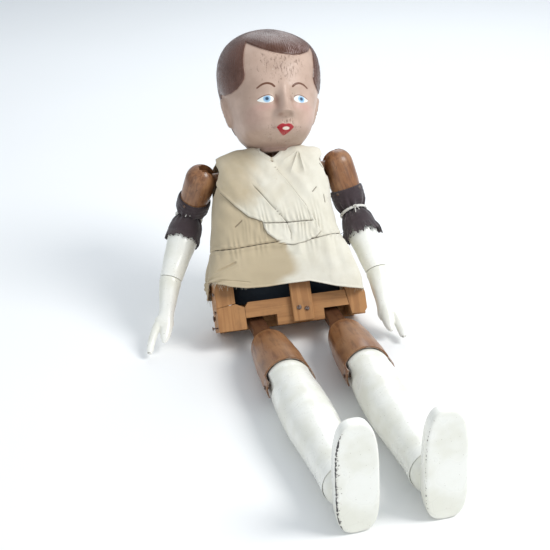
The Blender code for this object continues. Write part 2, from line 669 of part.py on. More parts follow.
def leg_frames(side, torso_matrix):
    hip = torso_matrix @ Vector((SIDES[side] * HIP_X, HIP_Y, HIP_Z))
    sway = LEG_SWAY[side]
    forward = Vector((math.sin(sway), -math.cos(sway), 0.0))
    knee = hip + forward * math.sqrt(THIGH ** 2 - (hip.z - KNEE_HEIGHT) ** 2)
    knee.z = KNEE_HEIGHT
    thigh = frame_from(hip, hip - knee, (1, 0, 0))
    shin = frame_from(knee, -forward, (1, 0, 0))
    ankle = shin @ Matrix.Translation((0, 0, -ANKLE_DROP))
    return thigh, shin, ankle


def make_thigh(side, thigh, mats):
    joint = make_joint(f"{side}_hip_joint", thigh)
    start = -THIGH_START
    profile = [(-THIGH - 6 * MM, THIGH_R), (-THIGH + 6 * MM, THIGH_R), (-110 * MM, THIGH_R),
               (start - 12 * MM, 23.5 * MM), (start - 3 * MM, 20.5 * MM), (start, 17 * MM)]
    leg = turned(f"{side}_thigh", profile, joint, mats["varnish"])

    half = TONGUE_WIDTH / 2
    flat = TONGUE_HALF_THICK
    bm = bmesh.new()
    rod_mesh(bm, (-half + GAP, 0, 0), (half - GAP, 0, 0), flat + GAP, 20)
    eye = cutter(f"add_{side}_tongue_eye", bm, joint)
    bm = bmesh.new()
    tongue_rings = []
    for z, width in ((0.0, half), (-44 * MM, half), (start - 8 * MM, half + 7 * MM)):
        tongue_rings.append([(-width, -flat, z), (width, -flat, z), (width, flat, z), (-width, flat, z)])
    add_loft(bm, tongue_rings)
    tongue = cutter(f"add_{side}_tongue", bm, joint)
    unite(leg, tongue, eye)

    scoop = ball_cutter(f"cut_{side}_knee_socket", (0, 0, -THIGH), KNEE_R + SOCKET_PLAY, joint)
    slot_half = KNEE_FLAT + 2 * GAP
    wide = 40 * MM
    low = -THIGH - 30 * MM
    below = box_cutter(f"cut_{side}_knee_open", (-slot_half, -wide, low), (slot_half, wide, -THIGH), joint)
    behind = box_cutter(f"cut_{side}_knee_back", (-slot_half, -2 * MM, low),
                        (slot_half, wide, -THIGH + 26 * MM), joint)
    cheeks = [box_cutter(f"cut_{side}_cheek_{name}", (-wide, y, low), (wide, y * 4, -THIGH + 8 * MM), joint)
              for name, y in (("front", -CHEEK_HALF), ("back", CHEEK_HALF))]
    axle = rod_cutter(f"cut_{side}_axle", (-wide, 0, 0), (wide, 0, 0), PIN_R + AXLE_PLAY, joint)
    pin = rod_cutter(f"cut_{side}_knee_pin_hole", (-wide, 0, -THIGH), (wide, 0, -THIGH), PIN_R + GAP, joint)
    cut(leg, scoop, below, behind, *cheeks, axle, pin)


def make_shin(side, shin, mats):
    joint = make_joint(f"{side}_knee_joint", shin)
    bm = bmesh.new()
    rod_mesh(bm, (-26.5 * MM, 0, 0), (26.5 * MM, 0, 0), PIN_R)
    make_object(f"{side}_knee_pin", mesh_from("pin", bm, smooth=True), joint, mats["steel"])

    lower = [(-ANKLE_DROP - 6 * MM, ANKLE_R + 1 * MM), (-150 * MM, ANKLE_R + 1 * MM),
             (-120 * MM, 22.5 * MM), (-85 * MM, CALF_R - 0.6 * MM), (-60 * MM, CALF_R),
             (-35 * MM, CALF_R - 0.6 * MM), (-20 * MM, KNEE_R + 0.4 * MM)]
    profile = lower + dome(0.0, KNEE_R, -20, 90, 7)
    leg = turned(f"{side}_shin", profile, joint, mats["paint"])
    far = 40 * MM
    flats = [box_cutter(f"cut_{side}_knee_flat_{sign}", (sign * KNEE_FLAT, -far, -20 * MM),
                        (sign * far, far, far), joint) for sign in SIDES.values()]
    hole = rod_cutter(f"cut_{side}_shin_pin", (-far, 0, 0), (far, 0, 0), PIN_R + GAP, joint)
    wide = ANKLE_BARREL_HALF + GAP
    end = -SHIN - far
    knuckle = ankle_barrel(f"cut_{side}_ankle_socket", joint, -ANKLE_DROP, ANKLE_BARREL_R + GAP, wide)
    below = box_cutter(f"cut_{side}_shin_end", (-wide, -far, end), (wide, far, -ANKLE_DROP), joint)
    trims = [box_cutter(f"cut_{side}_ankle_{name}", (-far, y, end), (far, y * 6, -ANKLE_DROP + ANKLE_LIP),
                        joint) for name, y in (("front", -ANKLE_LIP), ("back", ANKLE_LIP))]
    pin = rod_cutter(f"cut_{side}_ankle_pin_hole", (-far, 0, -ANKLE_DROP), (far, 0, -ANKLE_DROP),
                     PIN_R + GAP, joint)
    cut(leg, *flats, hole, knuckle, below, *trims, pin)


def ankle_barrel(name, parent, z, radius, half_length):
    bm = bmesh.new()
    rod_mesh(bm, (-half_length, 0, z), (half_length, 0, z), radius, ROUND)
    return cutter(name, bm, parent)


def sole_outline(inset=0.0, count=24):
    """A rounded sole, in x and y, with its toe towards -y."""
    points = []
    middle = HEEL_BACK - SOLE_LENGTH / 2
    for i in range(count):
        angle = 2 * math.pi * i / count
        cos_a = math.cos(angle)
        sin_a = math.sin(angle)
        boxy = 3.4 if sin_a > 0 else 2.3
        x = math.copysign(abs(cos_a) ** (2 / 3.0), cos_a) * (SOLE_WIDTH / 2 - inset)
        y = math.copysign(abs(sin_a) ** (2 / boxy), sin_a) * (SOLE_LENGTH / 2 - inset)
        points.append((x, middle + y))
    return points


def make_foot(side, ankle, mats):
    """A boot-shaped foot with a flat sole, and a barrel on top that rolls in the shin's end."""
    joint = make_joint(f"{side}_ankle_joint", ankle)
    sole = -(SHIN - ANKLE_DROP)
    bm = bmesh.new()
    rings = []
    for z, inset in ((sole, 1.2 * MM), (sole + 1.5 * MM, 0.0), (sole + 12 * MM, 0.6 * MM)):
        rings.append([(x, y, z) for x, y in sole_outline(inset)])
    upper = []
    for x, y in sole_outline(3.0 * MM):
        rise = min(1.0, max(0.0, (y + 60 * MM) / (62 * MM)))
        upper.append((x * 0.9, y * 0.98, sole + 18 * MM + 14 * MM * rise))
    rings.append(upper)
    add_loft(bm, rings)
    foot = make_object(f"{side}_foot", mesh_from("foot", bm, smooth=True), joint, mats["paint"])
    barrel = ankle_barrel(f"add_{side}_ankle_barrel", joint, 0.0, ANKLE_BARREL_R, ANKLE_BARREL_HALF)
    unite(foot, barrel)
    hole = rod_cutter(f"cut_{side}_foot_pin", (-0.04, 0, 0), (0.04, 0, 0), PIN_R + GAP, joint)
    cut(foot, hole)
    bm = bmesh.new()
    rod_mesh(bm, (-19 * MM, 0, 0), (19 * MM, 0, 0), PIN_R)
    make_object(f"{side}_ankle_pin", mesh_from("pin", bm, smooth=True), joint, mats["steel"])


# ---------------------------------------------------------------- assembly

def build():
    clear_scene()
    mats = make_materials()
    torso_matrix = Matrix.Translation((0, 0, -SEAT_DROP)) @ Matrix.Rotation(-LEAN, 4, "X")
    torso = make_joint("torso_frame", torso_matrix)
    make_pelvis(torso, mats)
    make_torso(torso, mats)
    make_head(torso_matrix, mats)
    for side in SIDES:
        swing, upper, forearm, wrist, upper_length, reach = arm_frames(side, torso_matrix)
        make_shoulder(side, swing, mats)
        make_upper_arm(side, upper, upper_length, mats)
        make_forearm(side, forearm, reach, mats)
        make_hand(side, wrist, reach, mats)
        thigh, shin, ankle = leg_frames(side, torso_matrix)
        make_thigh(side, thigh, mats)
        make_shin(side, shin, mats)
        make_foot(side, ankle, mats)


build()
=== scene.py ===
"""Looks of the seated, jointed wooden child figure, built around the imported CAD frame.

Row frame: metres, +Z up, the figure faces -Y and its left side is towards +X.
Torso frame: the same axes tilted back by the lean, with z up the spine and the back plane at y = 0.
Limb frames: z runs up the limb towards the body, y points to its back, and the origin is the joint.
"""

import json
import math

import bmesh
import bpy
import numpy as np
from mathutils import Matrix, Vector, noise
from mathutils.bvhtree import BVHTree


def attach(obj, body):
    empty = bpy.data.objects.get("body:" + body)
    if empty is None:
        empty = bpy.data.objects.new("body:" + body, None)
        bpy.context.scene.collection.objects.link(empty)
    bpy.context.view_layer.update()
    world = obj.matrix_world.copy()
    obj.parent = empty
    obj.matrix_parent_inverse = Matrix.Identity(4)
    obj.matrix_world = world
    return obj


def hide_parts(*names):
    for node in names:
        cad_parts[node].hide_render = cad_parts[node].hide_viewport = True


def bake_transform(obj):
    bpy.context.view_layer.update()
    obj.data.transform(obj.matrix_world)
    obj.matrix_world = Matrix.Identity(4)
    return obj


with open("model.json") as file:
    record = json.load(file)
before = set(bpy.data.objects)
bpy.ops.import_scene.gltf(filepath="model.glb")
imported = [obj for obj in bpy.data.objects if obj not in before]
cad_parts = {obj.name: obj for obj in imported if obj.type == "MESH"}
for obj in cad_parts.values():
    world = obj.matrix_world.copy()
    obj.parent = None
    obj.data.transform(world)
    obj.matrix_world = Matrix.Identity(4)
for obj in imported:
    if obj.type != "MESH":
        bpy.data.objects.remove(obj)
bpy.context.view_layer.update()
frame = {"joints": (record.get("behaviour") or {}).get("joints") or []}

MM = 0.001
SEED = 7
SEAT_DROP = 4 * MM
SEAM_AT = 0.47          # the wrist seam, as a share of the reach from elbow to fingertip
THIGH_START = 68.0      # millimetres below the hip
KNEE_R = 23.5
KNEE_FLAT = 19.6
KNEE_SLOT = 20.3
SOCKET_R = 24.6
ANKLE_DROP = 174.0
ANKLE_BALL_R = 20.6
SHIN = 208.0
HEEL_BACK = 26.6
SOLE_LENGTH = 108.5
SOLE_WIDTH = 39.0
NECK = (6.0, -38.0, 176.0)
HEAD_TURN = math.radians(4.0)
HEAD_ROLL = math.radians(4.5)
SHOULDER = (79.0, -32.5, 173.0)
ARMHOLE_R = 22.0
ARM_R = 17.6
ARM_END = 12.0          # where the upper arm's wood stops, above the elbow
DOWEL_BORE_R = 4.4
HEAD_ASIDE = 2.5        # how far the head's egg sits to the figure's right of its features
CAMERA_LENS = 71.8
CAMERA_PLACE = (-0.1824, -1.0990, 0.6044)
CAMERA_RIGHT = (0.9821, -0.1809, -0.0534)
CAMERA_FORWARD = (0.1395, 0.8873, -0.4395)
SIDES = {"right": -1, "left": 1}
JOINTS = {joint["name"]: joint for joint in frame["joints"]}


# ---------------------------------------------------------------- frames

def joint_at(name):
    return Vector(JOINTS[name]["pos_m"])


def frame_from(origin, up, side_hint):
    """A matrix at origin whose z is up and whose x is as near side_hint as it can be."""
    z = Vector(up).normalized()
    y = z.cross(Vector(side_hint)).normalized()
    x = y.cross(z)
    matrix = Matrix((x, y, z)).transposed().to_4x4()
    matrix.translation = origin
    return matrix


def torso_frame():
    up = Vector(JOINTS["head_turn"]["axis"])
    lean = math.atan2(up.y, up.z)
    return Matrix.Translation((0, 0, -SEAT_DROP)) @ Matrix.Rotation(-lean, 4, "X")


def arm_frames(side):
    """The upper arm's, the forearm's and the hand's frames, and the lengths that go with them, in mm."""
    shoulder = joint_at(f"{side}_shoulder_spread")
    elbow = joint_at(f"{side}_elbow")
    wrist = joint_at(f"{side}_wrist_turn")
    bend = Vector(JOINTS[f"{side}_elbow"]["axis"])
    if bend.x < 0:
        bend.negate()
    upper = frame_from(shoulder, shoulder - elbow, (1, 0, 0))
    forearm = frame_from(elbow, elbow - wrist, bend)
    hand = forearm.copy()
    hand.translation = wrist
    return upper, forearm, hand, (shoulder - elbow).length / MM, (elbow - wrist).length / SEAM_AT / MM


def leg_frames(side):
    hip = joint_at(f"{side}_hip")
    knee = joint_at(f"{side}_knee")
    ankle = joint_at(f"{side}_ankle")
    thigh = frame_from(hip, hip - knee, (1, 0, 0))
    shin = frame_from(knee, knee - ankle, (1, 0, 0))
    foot = shin.copy()
    foot.translation = ankle
    return thigh, shin, foot, (hip - knee).length / MM


TORSO = torso_frame()


# ---------------------------------------------------------------- mesh helpers; points are in millimetres

def make_object(name, points, faces, material, matrix=None):
    mesh = bpy.data.meshes.new(name)
    mesh.from_pydata([tuple(p) for p in np.asarray(points, float) * MM], [], faces)
    mesh.validate()
    mesh.materials.append(material)
    obj = bpy.data.objects.new(name, mesh)
    bpy.context.scene.collection.objects.link(obj)
    if matrix is not None:
        obj.matrix_world = matrix
    mesh.shade_smooth()
    return obj


def set_attribute(obj, name, values):
    layer = obj.data.attributes.new(name, "FLOAT", "POINT")
    layer.data.foreach_set("value", np.asarray(values, np.float32).ravel())


def set_vector(obj, name, values):
    layer = obj.data.attributes.new(name, "FLOAT_VECTOR", "POINT")
    layer.data.foreach_set("vector", np.asarray(values, np.float32).ravel())


def grid_faces(rows, cols):
    """Quads between rows of points that each run all the way round."""
    faces = []
    for r in range(rows - 1):
        for c in range(cols):
            d = (c + 1) % cols
            faces.append((r * cols + c, r * cols + d, (r + 1) * cols + d, (r + 1) * cols + c))
    return faces


def capped_loft(rings):
    """Points and faces of a closed skin over rings of equally many points, fanned shut at both ends."""
    rings = np.asarray(rings, float)
    rows, cols = rings.shape[:2]
    points = np.vstack([rings.reshape(-1, 3), rings[0].mean(0), rings[-1].mean(0)])
    faces = grid_faces(rows, cols)
    low, high = rows * cols, rows * cols + 1
    top = (rows - 1) * cols
    for c in range(cols):
        d = (c + 1) % cols
        faces.append((low, d, c))
        faces.append((high, top + c, top + d))
    return points, faces


def resample(line, step, soften=0):
    """A polyline again with points about step apart, its corners eased by averaging soften times."""
    line = np.asarray(line, float)
    along = np.concatenate([[0], np.cumsum(np.linalg.norm(np.diff(line, axis=0), axis=1))])
    count = max(2, int(round(along[-1] / step)) + 1)
    at = np.linspace(0, along[-1], count)
    made = np.stack([np.interp(at, along, line[:, k]) for k in range(line.shape[1])], axis=1)
    for _ in range(soften):
        made[1:-1] = (made[:-2] + 2 * made[1:-1] + made[2:]) / 4
    return made


def smooth_table(table, heights):
    """Columns of a table against its first column, by monotone cubic steps between its rows."""
    table = np.asarray(table, float)
    x = table[:, 0]
    out = []
    for k in range(1, table.shape[1]):
        y = table[:, k]
        slope = np.gradient(y, x)
        i = np.clip(np.searchsorted(x, heights) - 1, 0, len(x) - 2)
        h = x[i + 1] - x[i]
        t = np.clip((heights - x[i]) / h, 0, 1)
        out.append((2 * t**3 - 3 * t**2 + 1) * y[i] + (t**3 - 2 * t**2 + t) * h * slope[i]
                   + (3 * t**2 - 2 * t**3) * y[i + 1] + (t**3 - t**2) * h * slope[i + 1])
    return np.stack(out, axis=1)


def signed_power(value, power):
    return np.sign(value) * np.abs(value) ** power


def lathe_rings(profile, cols, lumps, seed):
    """Rings around z from (z, radius) rows, with a hand-carved unevenness of lumps millimetres."""
    angles = np.linspace(0, 2 * math.pi, cols, endpoint=False)
    rings = []
    for z, r in profile:
        ring = []
        for a in angles:
            x, y = math.cos(a), math.sin(a)
            wobble = lumps * noise.noise(Vector((x * 1.3 + seed, y * 1.3, z / 16.0)))
            radius = max(r + wobble * min(1.0, r / 6.0), 0.05)
            ring.append((x * radius, y * radius, z))
        rings.append(ring)
    return rings


def carve(obj, tools, operation="DIFFERENCE"):
    """Cuts tools out of obj, or joins them to it, and keeps the result as obj's own mesh."""
    for tool in tools:
        modifier = obj.modifiers.new(tool.name, "BOOLEAN")
        modifier.operation = operation
        modifier.object = tool
        modifier.solver = "EXACT"
    apply_modifiers(obj)
    for tool in tools:
        bpy.data.objects.remove(tool)


def apply_modifiers(obj):
    bpy.context.view_layer.update()
    evaluated = obj.evaluated_get(bpy.context.evaluated_depsgraph_get())
    mesh = bpy.data.meshes.new_from_object(evaluated)
    obj.modifiers.clear()
    obj.data = mesh


def tool_rod(start, end, radius, matrix, cols=48):
    start = Vector(start)
    span = Vector(end) - start
    bm = bmesh.new()
    place = Matrix.Translation(start + span / 2) @ span.to_track_quat("Z", "Y").to_matrix().to_4x4()
    bmesh.ops.create_cone(bm, cap_ends=True, segments=cols, radius1=radius, radius2=radius,
                          depth=span.length, matrix=place)
    return tool_from(bm, matrix)


def tool_box(corner, opposite, matrix):
    low = Vector(map(min, corner, opposite))
    high = Vector(map(max, corner, opposite))
    bm = bmesh.new()
    place = Matrix.Translation((low + high) / 2) @ Matrix.Diagonal((*(high - low), 1.0))
    bmesh.ops.create_cube(bm, size=1.0, matrix=place)
    return tool_from(bm, matrix)


def tool_ball(centre, radius, matrix):
    bm = bmesh.new()
    bmesh.ops.create_uvsphere(bm, u_segments=64, v_segments=32, radius=radius,
                              matrix=Matrix.Translation(centre))
    return tool_from(bm, matrix)


def tool_from(bm, matrix):
    bmesh.ops.scale(bm, vec=(MM, MM, MM), verts=bm.verts)
    mesh = bpy.data.meshes.new("tool")
    bm.to_mesh(mesh)
    bm.free()
    obj = bpy.data.objects.new("tool", mesh)
    bpy.context.scene.collection.objects.link(obj)
    obj.matrix_world = matrix
    obj.hide_render = True
    return obj


def edge_normals(obj, degrees=38):
    obj.data.shade_smooth()
    obj.data.set_sharp_from_angle(angle=math.radians(degrees))


def one_skin(obj, voxel, passes):
    """Joins overlapping closed parts into one skin, then smooths it."""
    remesh = obj.modifiers.new("one_skin", "REMESH")
    remesh.mode = "VOXEL"
    remesh.voxel_size = voxel * MM
    remesh.use_smooth_shade = True
    smooth = obj.modifiers.new("soft", "SMOOTH")
    smooth.factor = 0.5
    smooth.iterations = passes
    apply_modifiers(obj)


def finish_piece(obj, body, slot, *nodes):
    """The piece rides on its CAD body and stands for its CAD nodes, which it hides; its slot is not used.

    Its placement goes into its mesh, and the "own" attribute keeps its limb coordinates for its grain.
    """
    set_vector(obj, "own", [v.co for v in obj.data.vertices])
    obj.data.transform(obj.matrix_world)
    obj.matrix_world = Matrix()
    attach(obj, body)
    if nodes:
        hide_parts(*nodes)
    return obj


# ---------------------------------------------------------------- node helpers

def new_material(name, **sockets):
    material = bpy.data.materials.new(name)
    material.use_nodes = True
    shader = material.node_tree.nodes["Principled BSDF"]
    for socket, value in sockets.items():
        shader.inputs[socket.replace("_", " ")].default_value = value
    return material, material.node_tree, shader


def add(tree, kind, inputs=None, **settings):
    node = tree.nodes.new(kind)
    for key, value in settings.items():
        setattr(node, key, value)
    for key, value in (inputs or {}).items():
        if isinstance(value, bpy.types.NodeSocket):
            tree.links.new(value, node.inputs[key])
        else:
            node.inputs[key].default_value = value
    return node


def place(tree, scale=(1, 1, 1), rotation=(0, 0, 0), attribute=None):
    """Texture coordinates: the piece's own, or a vector attribute's, turned and then stretched."""
    if attribute:
        vector = add(tree, "ShaderNodeAttribute", attribute_name=attribute).outputs["Vector"]
    else:
        vector = add(tree, "ShaderNodeTexCoord").outputs["Object"]
    turned = add(tree, "ShaderNodeMapping", {"Vector": vector, "Rotation": rotation}).outputs["Vector"]
    return add(tree, "ShaderNodeMapping", {"Vector": turned, "Scale": scale}).outputs["Vector"]


def speckle(tree, vector, scale, detail=3.0, roughness=0.55, distortion=0.0):
    return add(tree, "ShaderNodeTexNoise", {"Vector": vector, "Scale": scale, "Detail": detail,
                                           "Roughness": roughness, "Distortion": distortion}).outputs["Fac"]


def value_of(tree, name):
    return add(tree, "ShaderNodeAttribute", attribute_name=name).outputs["Fac"]


def between(tree, value, low, high, to_low=0.0, to_high=1.0):
    return add(tree, "ShaderNodeMapRange", {"Value": value, "From Min": low, "From Max": high,
                                           "To Min": to_low, "To Max": to_high},
               interpolation_type="SMOOTHSTEP").outputs["Result"]


def maths(tree, operation, a, b):
    return add(tree, "ShaderNodeMath", {0: a, 1: b}, operation=operation).outputs[0]


def plus(tree, a, b):
    return maths(tree, "ADD", a, b)


def minus(tree, a, b):
    return maths(tree, "SUBTRACT", a, b)


def times(tree, a, b):
    return maths(tree, "MULTIPLY", a, b)


def blend_colour(tree, factor, a, b):
    """Colours a and b mixed; each is a socket or an (r, g, b) triple."""
    values = {0: factor}
    for index, colour in ((6, a), (7, b)):
        values[index] = colour if isinstance(colour, bpy.types.NodeSocket) else (*colour, 1.0)
    return add(tree, "ShaderNodeMix", values, data_type="RGBA").outputs[2]


def tint(tree, colour, paint, value, low, high, most=1.0):
    """Colour painted over, from not at all where value is low up to most where it is high."""
    return blend_colour(tree, between(tree, value, low, high, 0.0, most), colour, paint)


def bumped(tree, shader, height, distance, strength=1.0):
    node = add(tree, "ShaderNodeBump", {"Height": height, "Distance": distance * MM, "Strength": strength})
    tree.links.new(node.outputs["Normal"], shader.inputs["Normal"])


def connect(tree, shader, colour=None, roughness=None):
    if colour is not None:
        tree.links.new(colour, shader.inputs["Base Color"])
    if roughness is not None:
        tree.links.new(roughness, shader.inputs["Roughness"])


# ---------------------------------------------------------------- materials

def pine(name, grain, seed):
    """Old bare pine, honey brown, with its grain along the torso's x or z, and grime in its pores."""
    material, tree, shader = new_material(name, Specular_IOR_Level=0.35)
    lean = math.atan2(TORSO.col[2][1], TORSO.col[2][2])
    stretch = {"x": (0.06, 1, 1), "z": (1, 1, 0.06)}[grain]
    vector = place(tree, stretch, (lean, 0, 0))
    shifted = add(tree, "ShaderNodeMapping", {"Vector": vector, "Location": (seed, seed * 0.7, seed * 0.3)})
    vector = shifted.outputs["Vector"]
    rings = speckle(tree, vector, 120, 2, 0.5, 1.2)
    pores = speckle(tree, vector, 900, 3, 0.7)
    grime = speckle(tree, place(tree), 70, 4, 0.6)
    late = between(tree, rings, 0.42, 0.62)
    colour = blend_colour(tree, late, (0.44, 0.22, 0.085), (0.35, 0.165, 0.062))
    colour = tint(tree, colour, (0.24, 0.11, 0.045), pores, 0.56, 0.74, 0.5)
    colour = tint(tree, colour, (0.26, 0.135, 0.06), grime, 0.5, 0.76, 0.55)
    connect(tree, shader, colour, between(tree, grime, 0.3, 0.7, 0.62, 0.42))
    height = minus(tree, times(tree, rings, 0.5), times(tree, pores, 0.6))
    bumped(tree, shader, height, 0.5, 0.6)
    return material


def varnish(name, own=None):
    """Brown-stained, varnished turned wood: grain along the limb, dents, rubs and pale worn rims (on the
    upper arms' fronts partly a painted gloss highlight), with painted shade on the thighs' tongues.
    """
    material, tree, shader = new_material(name, Coat_Weight=0.35, Coat_Roughness=0.22,
                                         Specular_IOR_Level=0.45)
    along = place(tree, (1, 1, 0.09), attribute=own)
    plain = place(tree, attribute=own)
    grain = speckle(tree, along, 260, 3, 0.6, 0.6)
    pores = speckle(tree, along, 1500, 2, 0.6)
    cloud = speckle(tree, plain, 45, 4, 0.6)
    dents = speckle(tree, plain, 210, 3, 0.65)
    wear = value_of(tree, "wear")
    colour = blend_colour(tree, between(tree, grain, 0.38, 0.66), (0.27, 0.12, 0.048), (0.15, 0.058, 0.022))
    colour = tint(tree, colour, (0.34, 0.17, 0.075), cloud, 0.42, 0.68, 0.75)
    colour = tint(tree, colour, (0.10, 0.04, 0.018), pores, 0.6, 0.75, 0.5)
    colour = tint(tree, colour, (0.055, 0.022, 0.014), dents, 0.66, 0.72, 0.85)
    # Pale worn rims; on the upper arms' front spot they are partly a painted gloss highlight.
    ragged = plus(tree, wear, times(tree, minus(tree, dents, 0.5), 1.5))
    colour = tint(tree, colour, (0.60, 0.47, 0.38), ragged, 0.72, 0.84)
    # Darker where worn, and where the thighs' wear carries painted shade at the tongue's step.
    rubbed_and_shaded = plus(tree, wear, times(tree, minus(tree, cloud, 0.5), 1.4))
    colour = tint(tree, colour, (0.10, 0.04, 0.02), rubbed_and_shaded, 0.35, 0.75, 0.5)
    # Painted shade from the thighs' attribute over the tongue, plus a dark patch near the knee socket.
    shade_and_dark_patch = between(tree, value_of(tree, "shade_and_dark_patch"), 0.0, 1.0, 0, 0.85)
    colour = blend_colour(tree, shade_and_dark_patch, colour, (0.045, 0.018, 0.012))
    connect(tree, shader, colour, between(tree, cloud, 0.3, 0.7, 0.30, 0.46))
    height = minus(tree, times(tree, grain, 0.4), between(tree, dents, 0.64, 0.72))
    bumped(tree, shader, height, 0.45, 0.7)
    return material


def cream_paint():
    """Thick gloss paint, cream white, hair-cracked here and there, chipped to dark wood on its edges."""
    material, tree, shader = new_material("cream_paint_look", Coat_Weight=0.3, Coat_Roughness=0.12,
                                         Specular_IOR_Level=0.5)
    plain = place(tree, attribute="own")
    cloud = speckle(tree, plain, 28, 3, 0.55)
    brush = speckle(tree, place(tree, (1, 1, 0.14), attribute="own"), 320, 2, 0.5)
    ragged = speckle(tree, plain, 430, 4, 0.7)
    spots = speckle(tree, plain, 620, 1, 0.5)
    cracks = add(tree, "ShaderNodeTexVoronoi", {"Vector": plain, "Scale": 62.0, "Randomness": 1.0},
                 feature="DISTANCE_TO_EDGE").outputs["Distance"]
    where = between(tree, speckle(tree, plain, 22, 2, 0.5), 0.56, 0.68)
    line = times(tree, between(tree, cracks, 0.0, 0.022, 1, 0), where)
    wear = value_of(tree, "wear")
    colour = blend_colour(tree, between(tree, cloud, 0.35, 0.68), (0.86, 0.86, 0.81), (0.76, 0.755, 0.67))
    colour = blend_colour(tree, times(tree, line, 0.12), colour, (0.36, 0.33, 0.28))
    colour = tint(tree, colour, (0.30, 0.25, 0.2), spots, 0.735, 0.76, 0.6)
    edge = plus(tree, wear, times(tree, minus(tree, ragged, 0.5), 1.7))
    chip = between(tree, edge, 0.92, 1.0)
    rim = between(tree, edge, 0.72, 0.98, 0, 0.35)
    colour = blend_colour(tree, rim, colour, (0.55, 0.50, 0.42))
    colour = blend_colour(tree, chip, colour, (0.045, 0.04, 0.045))
    rough = between(tree, cloud, 0.3, 0.7, 0.24, 0.36)
    connect(tree, shader, colour, plus(tree, rough, times(tree, chip, 0.4)))
    height = minus(tree, times(tree, brush, 0.25),
                   plus(tree, chip, times(tree, line, 0.15)))
    bumped(tree, shader, height, 0.25, 0.55)
    return material


def face_paint():
    """Oil paint on the carved head. Painted features come from the head's own distance attributes."""
    material, tree, shader = new_material("face_paint_look", Specular_IOR_Level=0.4, Coat_Weight=0.12,
                                         Coat_Roughness=0.35)
    plain = place(tree, attribute="own")
    upright = place(tree, (1, 1, 0.28), attribute="own")
    cloud = speckle(tree, plain, 32, 4, 0.6)
    fine = speckle(tree, plain, 240, 4, 0.65)
    craze = speckle(tree, upright, 520, 5, 0.75)
    crack_here = value_of(tree, "craze")
    skin = blend_colour(tree, between(tree, cloud, 0.3, 0.7), (0.53, 0.385, 0.31), (0.42, 0.295, 0.23))
    skin = tint(tree, skin, (0.56, 0.29, 0.26), value_of(tree, "blush"), 0, 1, 0.6)
    skin = tint(tree, skin, (0.20, 0.10, 0.07), value_of(tree, "shade"), 0, 1, 0.75)
    skin = tint(tree, skin, (0.62, 0.50, 0.40), value_of(tree, "worn"), 0, 1, 0.55)
    threshold = plus(tree, craze, times(tree, crack_here, 0.125))
    cracked = between(tree, threshold, 0.665, 0.735, 0, 0.75)
    flaked = between(tree, plus(tree, fine, times(tree, crack_here, 0.05)), 0.70, 0.76, 0, 0.5)
    skin = blend_colour(tree, flaked, skin, (0.66, 0.58, 0.50))
    skin = blend_colour(tree, cracked, skin, (0.19, 0.115, 0.085))

    strand = speckle(tree, place(tree, (1, 0.25, 0.3), attribute="own"), 700, 3, 0.6)
    hair = blend_colour(tree, between(tree, cloud, 0.35, 0.7), (0.075, 0.026, 0.013), (0.12, 0.053, 0.036))
    hair = tint(tree, hair, (0.19, 0.11, 0.09), strand, 0.5, 0.72, 0.3)
    strokes = times(tree, value_of(tree, "stroke"), between(tree, strand, 0.35, 0.6))
    hair = blend_colour(tree, times(tree, strokes, 0.75), hair, (0.42, 0.31, 0.30))

    colour = blend_colour(tree, between(tree, value_of(tree, "hair"), -0.25, 0.25), skin, hair)
    layers = [
        ("brow", -0.35, 0.35, (0.13, 0.05, 0.025)), ("lash", -0.3, 0.3, (0.16, 0.08, 0.06)),
        ("eye", -0.25, 0.25, (0.80, 0.83, 0.80)), ("iris", -0.7, 0.9, (0.27, 0.47, 0.68)),
        ("pupil", -0.9, 0.5, (0.02, 0.05, 0.10)),
        ("lip", -0.5, 0.4, (0.37, 0.014, 0.024)), ("teeth", -0.35, 0.35, (0.86, 0.74, 0.64)),
    ]
    for name, low, high, paint in layers:
        colour = blend_colour(tree, between(tree, value_of(tree, name), low, high), colour, paint)
    lip_gloss = between(tree, value_of(tree, "lip"), -0.3, 0.3)
    rough = between(tree, fine, 0.3, 0.7, 0.40, 0.55)
    hair_mask = between(tree, value_of(tree, "hair"), -0.2, 0.2)
    gloss = times(tree, maths(tree, "MAXIMUM", lip_gloss, hair_mask), 0.16)
    connect(tree, shader, colour, minus(tree, rough, gloss))
    height = minus(tree, times(tree, fine, 0.25), cracked)
    height = plus(tree, height, times(tree, times(tree, strand, hair_mask), 0.8))
    bumped(tree, shader, height, 0.3, 0.5)
    return material


